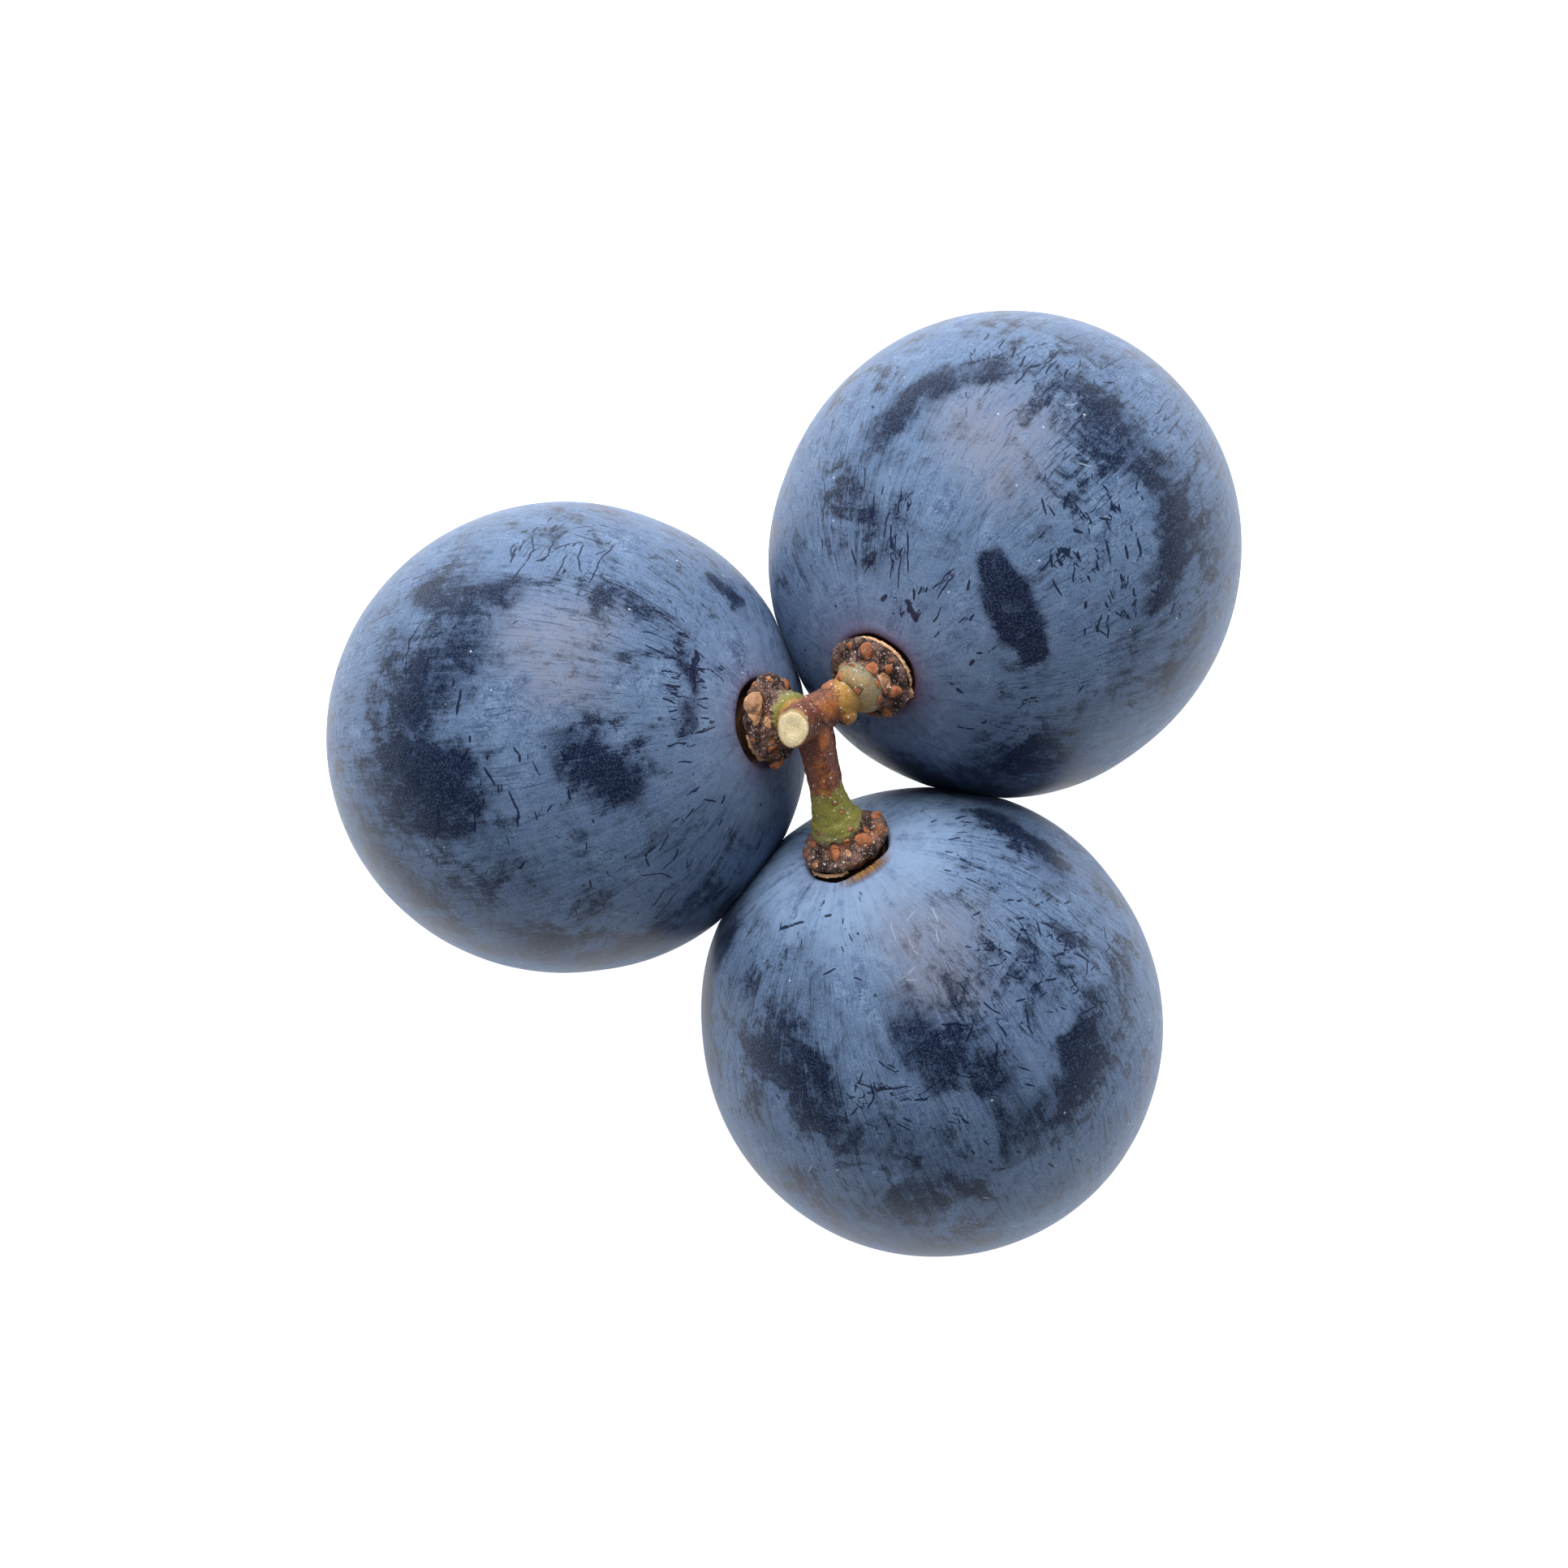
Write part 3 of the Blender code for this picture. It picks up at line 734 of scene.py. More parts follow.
# Where torn fibres edge the hollow: (from, to) degrees round it.
FIBRE_LIP = {"berry_front": (148, 236)}
# How much narrower each berry's hollow is than the settings say, in mm.
TIGHTER = {"berry_left": 0.62, "berry_right": 0.72, "berry_front": 0.64}
# The side on which the hollow is wider, in degrees round it, and by how much in mm.
GAPE = {"berry_left": (205, 0.22), "berry_right": (200, 0.0), "berry_front": (190, 0.06)}
# Share of paler bloom near the stem end, partly a painted light that lifts the shade round the stem.
PALE_AND_LIT_NEAR_STEM = {"berry_left": 0.30, "berry_right": 0.25, "berry_front": 0.90}
# Middle of the painted highlight on each crown, a grey-lavender tint standing in for the soft lamp's
# reflection: degrees from the stem end and round it.
PAINTED_HIGHLIGHTS = {"berry_left": (60, 155), "berry_right": (65, 205), "berry_front": (38, 190)}
# How strong the reddish flush round each stem end is.
FLUSH = {"berry_left": 0.65, "berry_right": 1.0, "berry_front": 0.22}


NOWHERE_NEAR = 1e9  # a distance to start from when looking for the least one
OUTSIDE_STROKE = 40.0  # how many half-widths off a point is where there is no stroke
STROKE_REACH = 0.9  # how far round a stroke its field is kept, in mm
STROKE_TAPER = 0.35  # how much narrower a stroke is at its ends
FINE_REACH = 4.1  # how far from the stem end the rings are close, in mm
FINE_RINGS = 47
COARSE_RINGS = 174
RING_SPREAD = 1.04  # above 1, the rings beyond it widen slowly
FOOT_SHARE = 0.6  # of a narrower rim that its floor follows
LIP_FADE = 34  # degrees over which the torn fibres fade out at each end
LIP_RISE = 0.22  # how far they stand out, in mm, and how much that varies
LIP_THREADS = 0.12
SOFT_EDGE = 0.05  # of the flat where a berry is pressed, in mm
FIRST_SEED = 11
DOWN = np.array((0.0, 0.0, -1.0))
COMB_ROUND = 12  # width of the field that streaks follow, in mm per radian round the berry


def distance_to_path(points, path):
    """Shortest distance from each point to a line of straight steps, or to a single point."""
    best = np.full(len(points), NOWHERE_NEAR)
    for start, end in zip(path[:-1], path[1:]):
        run = end - start
        along = np.clip((points - start) @ run / max(float(run @ run), 1e-12), 0, 1)
        best = np.minimum(best, np.linalg.norm(points - start - along[:, None] * run, axis=1))
    return best


def ramp(values, low, high):
    """0 at low, 1 at high and smooth between."""
    t = np.clip((values - low) / (high - low), 0, 1)
    return t * t * (3 - 2 * t)


def wander(points, scale, size):
    """Points moved about by smooth noise, for ragged edges."""
    moves = [noise.noise_vector(Vector(p) * scale) for p in points]
    return points + np.array([tuple(m) for m in moves]) * size


def rough(points, scale, octaves=4):
    """Layered noise at each point, about -1 to 1."""
    return np.array([noise.fractal(Vector(p) * scale, 1.0, 2.0, octaves) for p in points])


def ring_angles(berry):
    """Degrees from the stem end of each ring of points: close over the hollow, wider beyond it."""
    fine_end = math.degrees(FINE_REACH / berry.mean)
    fine = np.linspace(0, fine_end, FINE_RINGS + 1)[1:]
    steps = np.linspace(0, 1, COARSE_RINGS + 1)[1:-1]
    return np.concatenate([fine, fine_end + (180 - fine_end) * steps**RING_SPREAD])


def gape(berry, turn):
    """How much wider the hollow is at these turns, in radians, in mm."""
    side, much = GAPE[berry.name]
    return much * np.cos(turn - math.radians(side))


def hollow_sizes(berry, look):
    """Radii of one hollow's rim and floor, in mm."""
    tighter = TIGHTER[berry.name]
    return look.hollow_rim / MM - tighter, look.hollow_foot / MM - tighter * FOOT_SHARE


def hollow_relief(berry, arc, turn, look):
    """How far the skin stands out, in mm, at these distances from the stem end and turns round it."""
    rim, foot = hollow_sizes(berry, look)
    depth = look.hollow_depth / MM
    round_it = np.column_stack([np.cos(turn) * 2, np.sin(turn) * 2, np.full(len(turn), berry.centre[0])])
    wobble = np.array([noise.noise(Vector(p)) for p in round_it])
    edge = arc + wobble * 0.08 - gape(berry, turn)
    sunk = -depth * ramp(edge, rim + 0.12, foot)
    shoulder = 0.07 * np.exp(-(((edge - rim - 0.35) / 0.35) ** 2)) * (edge > foot)
    ridges = 0.05 * np.sin(edge * 15 + wobble * 3) * ramp(edge, foot + 0.3, foot - 0.3)
    return sunk + shoulder + ridges


def skin_points(berry, planes, look):
    """Turns, distances from the stem end, directions and points of one berry's skin."""
    angles = ring_angles(berry)
    turns = np.linspace(0, 360, look.sides, endpoint=False)
    away = np.concatenate([[0.0], np.repeat(angles, look.sides), [180.0]])
    turn = np.concatenate([[0.0], np.tile(turns, len(angles)), [0.0]])
    directions = berry.direction(away, turn)
    arc = np.radians(away) * berry.mean
    relief = hollow_relief(berry, arc, np.radians(turn), look)
    relief += rough(directions * 1.4 + berry.centre, 1.0, 3) * look.waviness / MM * ramp(arc, 2.0, 6.0)
    if berry.name in FIBRE_LIP:
        relief += lip_relief(berry, arc, turn)
    for _, normal in planes:
        relief += look.swell / MM * ramp(directions @ normal, 0.70, 0.995)
    scar = berry.mean * math.pi - arc
    relief += -0.10 * ramp(scar, 1.0, 0.5) + 0.22 * ramp(scar, 0.32, 0.12)
    points = berry.centre + directions * (berry.radius(directions) + relief)[:, None]
    return turn, arc, directions, points


def lip_share(berry, arc, turn):
    """1 on the torn fibres at the edge of the hollow, 0 off them."""
    if berry.name not in FIBRE_LIP:
        return np.zeros(len(arc))
    first, last = FIBRE_LIP[berry.name]
    span = ramp(turn, first, first + LIP_FADE) * ramp(turn, last, last - LIP_FADE)
    return span * ramp(arc, 2.04, 2.16) * ramp(arc, 2.88, 2.66)


def lip_relief(berry, arc, turn):
    """How far the torn fibres stand out, in mm."""
    threads = np.array([noise.noise(Vector((t * 0.45, a * 2.5, 0.0))) for t, a in zip(turn, arc)])
    return lip_share(berry, arc, turn) * (LIP_RISE + LIP_THREADS * threads)


def contact_planes(berries):
    """For each berry, planes midway to each neighbour, as (point, outward normal)."""
    planes = {b.name: [] for b in berries}
    for i, one in enumerate(berries):
        for other in berries[i + 1 :]:
            normal = other.centre - one.centre
            normal = normal / np.linalg.norm(normal)
            first = one.centre + one.furthest(normal)
            second = other.centre - other.furthest(normal)
            middle = (first + second) / 2
            planes[one.name].append((middle, normal))
            planes[other.name].append((middle, -normal))
    return planes


def press(points, planes, gap):
    """Points kept behind each plane, with a soft edge round the flat."""
    for middle, normal in planes:
        over = (points - middle) @ normal + gap / 2
        eased = np.where(over > -SOFT_EDGE, (over + SOFT_EDGE) ** 2 / (4 * SOFT_EDGE), 0.0)
        push = np.where(over > SOFT_EDGE, over, eased)
        points = points - push[:, None] * normal
    return points


def grid_faces(rings, sides):
    """Faces between rings of points, with a fan at each end."""
    first = np.arange(sides)
    after = (first + 1) % sides
    faces = [np.column_stack([np.zeros(sides, int), 1 + first, 1 + after]).tolist()]
    for ring in range(rings - 1):
        low, high = 1 + ring * sides, 1 + (ring + 1) * sides
        faces.append(np.column_stack([low + first, high + first, high + after, low + after]).tolist())
    last = 1 + rings * sides
    low = 1 + (rings - 1) * sides
    faces.append(np.column_stack([low + first, np.full(sides, last), low + after]).tolist())
    return [face for group in faces for face in group]


def add_mesh(name, points, faces, material):
    """A smooth mesh object, its points given in millimetres."""
    mesh = bpy.data.meshes.new(name)
    mesh.from_pydata((points * MM).tolist(), [], faces)
    mesh.polygons.foreach_set("use_smooth", np.ones(len(mesh.polygons), bool))
    mesh.materials.append(material)
    mesh.update()
    made = bpy.data.objects.new(name, mesh)
    bpy.context.scene.collection.objects.link(made)
    return made


def keep_field(mesh, name, first, second, third):
    """Keeps three numbers at each point, for the material to read."""
    values = np.column_stack([first, second, third]).astype(np.float32)
    mesh.attributes.new(name, "FLOAT_VECTOR", "POINT").data.foreach_set("vector", values.ravel())


def stroke_field(berry, directions, strokes):
    """Where each point is across and along its nearest stroke, and 1 near a dark one, -1 near a pale one."""
    places = wander(directions * berry.mean, 2.2, 0.10)
    best = np.full(len(places), NOWHERE_NEAR)
    across_out, along_out = np.full((2, len(places)), OUTSIDE_STROKE)
    near_out = np.zeros(len(places))
    for half, start, end in strokes:
        middle = (start + end) / 2
        reach = np.linalg.norm(end - start) / 2 + abs(half)
        span = (end - start) / max(np.linalg.norm(end - start), 1e-9)
        up = middle / np.linalg.norm(middle)
        cross = np.cross(up, span)
        offset = places - middle
        close = np.flatnonzero(np.einsum("ij,ij->i", offset, offset) < (reach + STROKE_REACH) ** 2)
        if not len(close):
            continue
        along, across = offset[close] @ span, offset[close] @ cross
        out = np.hypot(np.maximum(np.abs(along) - reach, 0), across) - abs(half)
        better = out < best[close]
        chosen = close[better]
        best[chosen] = out[better]
        across_out[chosen] = across[better] / abs(half)
        along_out[chosen] = along[better] / reach
        near_out[chosen] = math.copysign(1.0, half) * ramp(out[better], 0.55, 0.3)
    return across_out, along_out, near_out


def hand_strokes(berry):
    """The single strokes as straight steps, narrower towards both ends."""
    found = []
    for half, path in ((half, path) for half, paths in STROKES[berry.name].items() for path in paths):
        ends = [berry.direction(*p) * berry.mean for p in path]
        last = len(ends) - 1
        for step, (start, end) in enumerate(zip(ends[:-1], ends[1:])):
            taper = 1 - STROKE_TAPER * abs(2 * (step + 0.5) / last - 1)
            found.append((half * taper, start, end))
    return found


def random_ticks(berry, seed):
    """Small ticks strewn over their fields, and a few everywhere."""
    draw = np.random.default_rng(seed)
    found = []
    for count, away_range, turn_range, size, half, lean in (*TICK_FIELDS[berry.name], TICKS_EVERYWHERE):
        low, high = (math.cos(math.radians(a)) for a in away_range)
        for _ in range(count):
            away = math.degrees(math.acos(draw.uniform(high, low)))
            turn = draw.uniform(*turn_range)
            run = size * draw.uniform(0.35, 1.5) / 2
            slope = math.radians(lean + draw.normal(0, 16))
            step = math.degrees(run / berry.mean)
            ahead = step * math.cos(slope)
            aside = step * math.sin(slope) / max(math.sin(math.radians(away)), 0.15)
            start = berry.direction(away - ahead, turn - aside) * berry.mean
            end = berry.direction(away + ahead, turn + aside) * berry.mean
            found.append((half * draw.uniform(0.7, 1.5), start, end))
    return found


def wear_and_shade_fields(berry, arc, directions):
    """The rubbed patches together with the patches of painted shade, where patches on the underside may
    fall, and where fine lines show.
    """
    plain = wander(directions * berry.mean, 1.5, 0.12)
    ragged = wander(directions * berry.mean, 0.6, 0.45)
    ragged = wander(ragged, 1.5, 0.35)
    ragged = wander(ragged, 4.0, 0.12)
    smudge_and_shade = np.zeros(len(directions))
    for strength, half, path in RUBBED_AND_SHADED_PATCHES[berry.name]:
        ends = [berry.direction(*p) * berry.mean for p in path]
        crisp = strength == 1
        out = distance_to_path(plain if crisp else ragged, ends)
        outer, inner = (1.25, 0.75) if crisp else (1.9, 0.3)
        # Each patch is either rubbed bloom or painted shade where berries touch.
        smudge_and_shade = 1 - (1 - smudge_and_shade) * (1 - strength * ramp(out, half * outer + 0.25, half * inner))
    loose = ramp(directions[:, 2], 0.12, -0.25)
    uneven = ramp(rough(directions * 2.2 + 5.0, 1.0, 2), -0.25, 0.30)
    streaky = ramp(arc, 4.0, 7.0) * (0.55 + 0.45 * uneven)
    return smudge_and_shade, loose, streaky


def highlight_and_pale_fields(berry, directions, arc):
    """A painted highlight of grey-lavender on the crown, paler bloom near the stem end that is partly
    painted light, and nothing.
    """
    crown = berry.direction(*PAINTED_HIGHLIGHTS[berry.name])
    ragged = wander(directions, 3.0, 0.12)
    out = np.linalg.norm(ragged - crown, axis=1) * berry.mean
    painted_highlight = ramp(out, 5.2, 0.8)
    # Paler near the stem end, partly painted light against the stem's shade.
    pale_and_lit = PALE_AND_LIT_NEAR_STEM[berry.name] * ramp(arc, 9.5, 3.5)
    return painted_highlight, pale_and_lit, np.zeros(len(painted_highlight))


def stem_end_fields(berry, arc, turn, look):
    """The flush round the stem end, the hollow, and torn fibres."""
    rim, foot = hollow_sizes(berry, look)
    arc_here = arc - gape(berry, np.radians(turn))
    past = np.maximum(arc_here - rim, 0)
    flush = FLUSH[berry.name] * (0.8 * np.exp(-past / 0.50) + 0.2 * np.exp(-past / 2.2))
    scar = berry.mean * math.pi - arc
    hollow = np.maximum(ramp(arc_here, rim - 0.02, foot + 0.10), ramp(scar, 0.42, 0.22))
    return flush, hollow, lip_share(berry, arc, turn)


class GRAPES_OT_berries(bpy.types.Operator):
    """Builds the three berries with their bloom, rubbed patches, painted shade and highlight, and stem ends
    """

    bl_idname = "grapes.berries"
    bl_label = "Add Berries"

    def execute(self, context):
        noise.seed_set(NOISE_SEED)
        look = context.scene.grape_skin
        berries = [Berry(name) for name in BERRIES]
        planes = contact_planes(berries)
        for seed, berry in enumerate(berries, FIRST_SEED):
            turn, arc, directions, points = skin_points(berry, planes[berry.name], look)
            points = press(points, planes[berry.name], look.resting_gap / MM)
            points = press(points, [(np.zeros(3), DOWN)], 0.0)
            rings = (len(points) - 2) // look.sides
            material = skin_material(f"{berry.name}_skin", look)
            skin = add_mesh(f"{berry.name}_fruit", points, grid_faces(rings, look.sides), material)
            turned = np.radians(turn)
            keep_field(skin.data, "comb", COMB_ROUND * np.cos(turned), COMB_ROUND * np.sin(turned), arc)
            keep_field(skin.data, "wear_and_shade", *wear_and_shade_fields(berry, arc, directions))
            # The dust field holds the painted highlight on the crown and the paler bloom near the stem end,
            # part of it painted light; it holds no dust.
            keep_field(skin.data, "dust", *highlight_and_pale_fields(berry, directions, arc))
            keep_field(skin.data, "stem_end", *stem_end_fields(berry, arc, turn, look))
            keep_field(skin.data, "strokes", *stroke_field(berry, directions, hand_strokes(berry)))
            keep_field(skin.data, "ticks", *stroke_field(berry, directions, random_ticks(berry, seed)))
            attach(skin, "root")
            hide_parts(berry.name)
        return {"FINISHED"}


# ---------------------------------------------------------------------------
# Stem

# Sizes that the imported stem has, in mm.
STUB_LENGTH = 2.1
SWELLING_LENGTH = 2.3
GAP = 0.3
ARM_HANDLE = 0.38  # share of an arm's length that each end keeps its direction for
ARM_RISE = 0.25  # how steeply an arm still rises at the fork
ARM_POINTS = 33
EASING = 60  # rounds of smoothing on the stem's mesh
BARK_SWELL = 0.14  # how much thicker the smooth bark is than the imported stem, in mm
RIGHT_SWELL = 0.10  # and how much more on the right arm
MARK_SPREAD = 1.3  # how much wider a lenticel's ragged foot is than its radius
CUT_EDGE = 1.3  # radius that holds the whole cut end, in mm
NORTH = np.array((0.0, 1.0, 0.0))
RIM_SIDE = np.array((0.25, 0.95, 0.0))  # the side on which the cut end's rim is thickest

# Marks on the corky ends: degrees round it, then height from the berry, half-width, half-height and rise
# in mm, and 1 for an orange wart or 0 for a tan scale.
WARTS = {
    "berry_left": [
        (162, 0.78, 0.84, 0.22, 0.06, 0),
        (186, 1.22, 0.30, 0.12, 0.05, 0),
        (106, 0.90, 0.16, 0.14, 0.08, 1),
        (234, 1.00, 0.18, 0.18, 0.11, 1),
        (268, 0.60, 0.36, 0.24, 0.12, 1),
        (128, 0.50, 0.13, 0.11, 0.06, 1),
        (205, 0.55, 0.11, 0.10, 0.06, 1),
        (60, 0.80, 0.24, 0.21, 0.09, 1),
        (310, 1.00, 0.21, 0.19, 0.09, 1),
    ],
    "berry_right": [
        (218, 0.95, 0.29, 0.27, 0.14, 1),
        (128, 1.05, 0.27, 0.27, 0.12, 1),
        (172, 1.00, 0.24, 0.16, 0.11, 1),
        (154, 1.25, 0.42, 0.20, 0.08, 0),
        (266, 1.40, 0.12, 0.14, 0.06, 1),
        (162, 1.65, 0.14, 0.18, 0.09, 1),
        (234, 1.75, 0.14, 0.13, 0.08, 1),
        (250, 0.80, 0.16, 0.13, 0.08, 1),
        (70, 0.90, 0.24, 0.21, 0.09, 1),
        (330, 0.90, 0.24, 0.21, 0.09, 1),
    ],
    "berry_front": [
        (214, 1.10, 0.26, 0.24, 0.14, 1),
        (156, 1.20, 0.22, 0.22, 0.12, 1),
        (92, 1.35, 0.18, 0.16, 0.11, 1),
        (288, 0.60, 0.19, 0.18, 0.11, 1),
        (276, 1.00, 0.14, 0.12, 0.08, 1),
        (180, 1.00, 0.12, 0.12, 0.08, 0),
        (212, 1.90, 0.12, 0.12, 0.08, 1),
        (240, 1.20, 0.13, 0.12, 0.08, 1),
        (120, 0.70, 0.12, 0.10, 0.06, 1),
        (20, 0.90, 0.24, 0.21, 0.09, 1),
    ],
}
# Lenticels on the smooth bark: share of the way to the fork, degrees round from the top, then radius and
# rise in mm.
LENTICELS = {
    "berry_left": [(0.55, 40, 0.12, 0.06)],
    "berry_right": [
        (0.02, 15, 0.24, 0.12),
        (0.14, -52, 0.16, 0.09),
        (0.25, 0, 0.20, 0.08),
        (0.42, 20, 0.13, 0.05),
        (0.30, 62, 0.14, 0.07),
        (0.55, 82, 0.34, 0.14),
    ],
    "berry_front": [
        (0.02, 8, 0.16, 0.12),
        (0.05, 40, 0.13, 0.09),
        (0.07, -35, 0.12, 0.09),
        (0.12, -60, 0.15, 0.08),
        (0.23, -64, 0.20, 0.14),
        (0.26, 36, 0.12, 0.06),
        (0.35, 24, 0.18, 0.09),
        (0.49, 6, 0.12, 0.07),
        (0.66, -14, 0.07, 0.04),
        (0.40, 170, 0.16, 0.09),
        (0.20, 130, 0.14, 0.09),
    ],
}
# Shares of the way to the fork between which bark turns green, golden and brown: two for each.
ARM_TONES = {
    "berry_left": (0.05, 0.45, 0.40, 0.80, 0.72, 1.02),
    "berry_right": (9.0, 9.1, 0.10, 0.42, 0.36, 0.70),
    "berry_front": (-0.10, 0.18, 0.30, 1.20, 0.38, 0.52),
}
FLAKE_STEPS = 4  # points across a papery edge
# Papery edges of the corky ends: berry, (from, to) degrees round it, width in mm.
FLAKES = (
    ("berry_left", (200, 258), 0.20),
    ("berry_right", (126, 250), 0.09),
    ("berry_right", (100, 124), 0.30),
    ("berry_front", (100, 168), 0.14),
    ("berry_left", (20, 60), 0.16),
)


def bezier(start, first, last, end, count):
    """Points along a curve that leaves start towards first and arrives at end from last."""
    t = np.linspace(0, 1, count)[:, None]
    return (1 - t) ** 3 * start + 3 * (1 - t) ** 2 * t * first + 3 * (1 - t) * t * t * last + t**3 * end


class Stalk:
    """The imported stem's cut end, fork, and the line of each of its arms."""

    def __init__(self, berries):
        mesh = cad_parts[STEM].data
        sizes = {}
        for face in mesh.polygons:
            if face.normal.z > 0.5:
                key = tuple(round(x, 2) for x in face.normal)
                sizes.setdefault(key, []).append(face)
        cut = max(sizes.values(), key=lambda faces: sum(f.area for f in faces))
        area = sum(f.area for f in cut)
        self.up = np.array(cut[0].normal)
        self.cut = sum(np.array(f.center) * f.area for f in cut) / area / MM
        self.fork = self.cut - self.up * STUB_LENGTH
        self.feet = {b.name: b.floor + b.axis * GAP for b in berries}
        self.lines = {b.name: self.arm_line(b) for b in berries}

    def arm_line(self, berry):
        """Points along the middle of the arm from one berry to the fork."""
        start = self.feet[berry.name] + berry.axis * SWELLING_LENGTH / 2
        reach = self.fork - start
        span = np.linalg.norm(reach)
        flat = np.array((reach[0], reach[1], 0.0))
        arrive = flat / np.linalg.norm(flat) + np.array((0.0, 0.0, ARM_RISE))
        arrive = arrive / np.linalg.norm(arrive)
        first = start + berry.axis * span * ARM_HANDLE
        last = self.fork - arrive * span * ARM_HANDLE
        return bezier(start, first, last, self.fork, ARM_POINTS)


def remeshed_stem(look):
    """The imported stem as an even, fine mesh: points in mm and faces."""
    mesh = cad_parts[STEM].data.copy()
    shell = bmesh.new()
    shell.from_mesh(mesh)
    bmesh.ops.remove_doubles(shell, verts=shell.verts, dist=1e-6)
    bmesh.ops.scale(shell, vec=(1 / MM,) * 3, verts=shell.verts)
    shell.to_mesh(mesh)
    shell.free()
    helper = bpy.data.objects.new("stem_helper", mesh)
    bpy.context.scene.collection.objects.link(helper)
    even = helper.modifiers.new("even", "REMESH")
    even.mode = "VOXEL"
    even.voxel_size = look.grid / MM
    ease = helper.modifiers.new("ease", "SMOOTH")
    ease.iterations = EASING
    found = helper.evaluated_get(bpy.context.evaluated_depsgraph_get()).to_mesh()
    points = np.empty(len(found.vertices) * 3, np.float32)
    found.vertices.foreach_get("co", points)
    normals = np.empty(len(found.vertices) * 3, np.float32)
    found.vertices.foreach_get("normal", normals)
    faces = [list(face.vertices) for face in found.polygons]
    bpy.data.objects.remove(helper)
    bpy.data.meshes.remove(mesh)
    return points.reshape(-1, 3).astype(float), normals.reshape(-1, 3).astype(float), faces


def along_line(points, line):
    """Distance to a line of points, and the share of the way along it."""
    best, where = np.full(len(points), NOWHERE_NEAR), np.zeros(len(points))
    steps = len(line) - 1
    for i in range(steps):
        run = line[i + 1] - line[i]
        t = np.clip((points - line[i]) @ run / (run @ run), 0, 1)
        out = np.linalg.norm(points - line[i] - t[:, None] * run, axis=1)
        nearer = out < best
        best[nearer] = out[nearer]
        where[nearer] = (i + t[nearer]) / steps
    return best, where


def cork_grain(points):
    """Height of the grains of cork, about -1 to 1."""
    height = np.empty(len(points))
    for i, p in enumerate(points):
        place = Vector(p)
        near, _ = noise.voronoi(place * 2.3)
        small, _ = noise.voronoi(place * 5.5)
        grains = 0.9 * (0.42 - near[0]) + 0.5 * (0.40 - small[0])
        height[i] = grains + 0.5 * noise.fractal(place * 1.6, 1.0, 2.0, 4)
    return height


def swelling_place(berry, foot, points):
    """Height above the flat end, distance from the axis and degrees round it, of each point."""
    offset = points - foot
    height = offset @ berry.axis
    across = offset - height[:, None] * berry.axis
    turn = np.degrees(np.arctan2(across @ berry.side, across @ berry.face)) % 360
    return height, np.linalg.norm(across, axis=1), turn


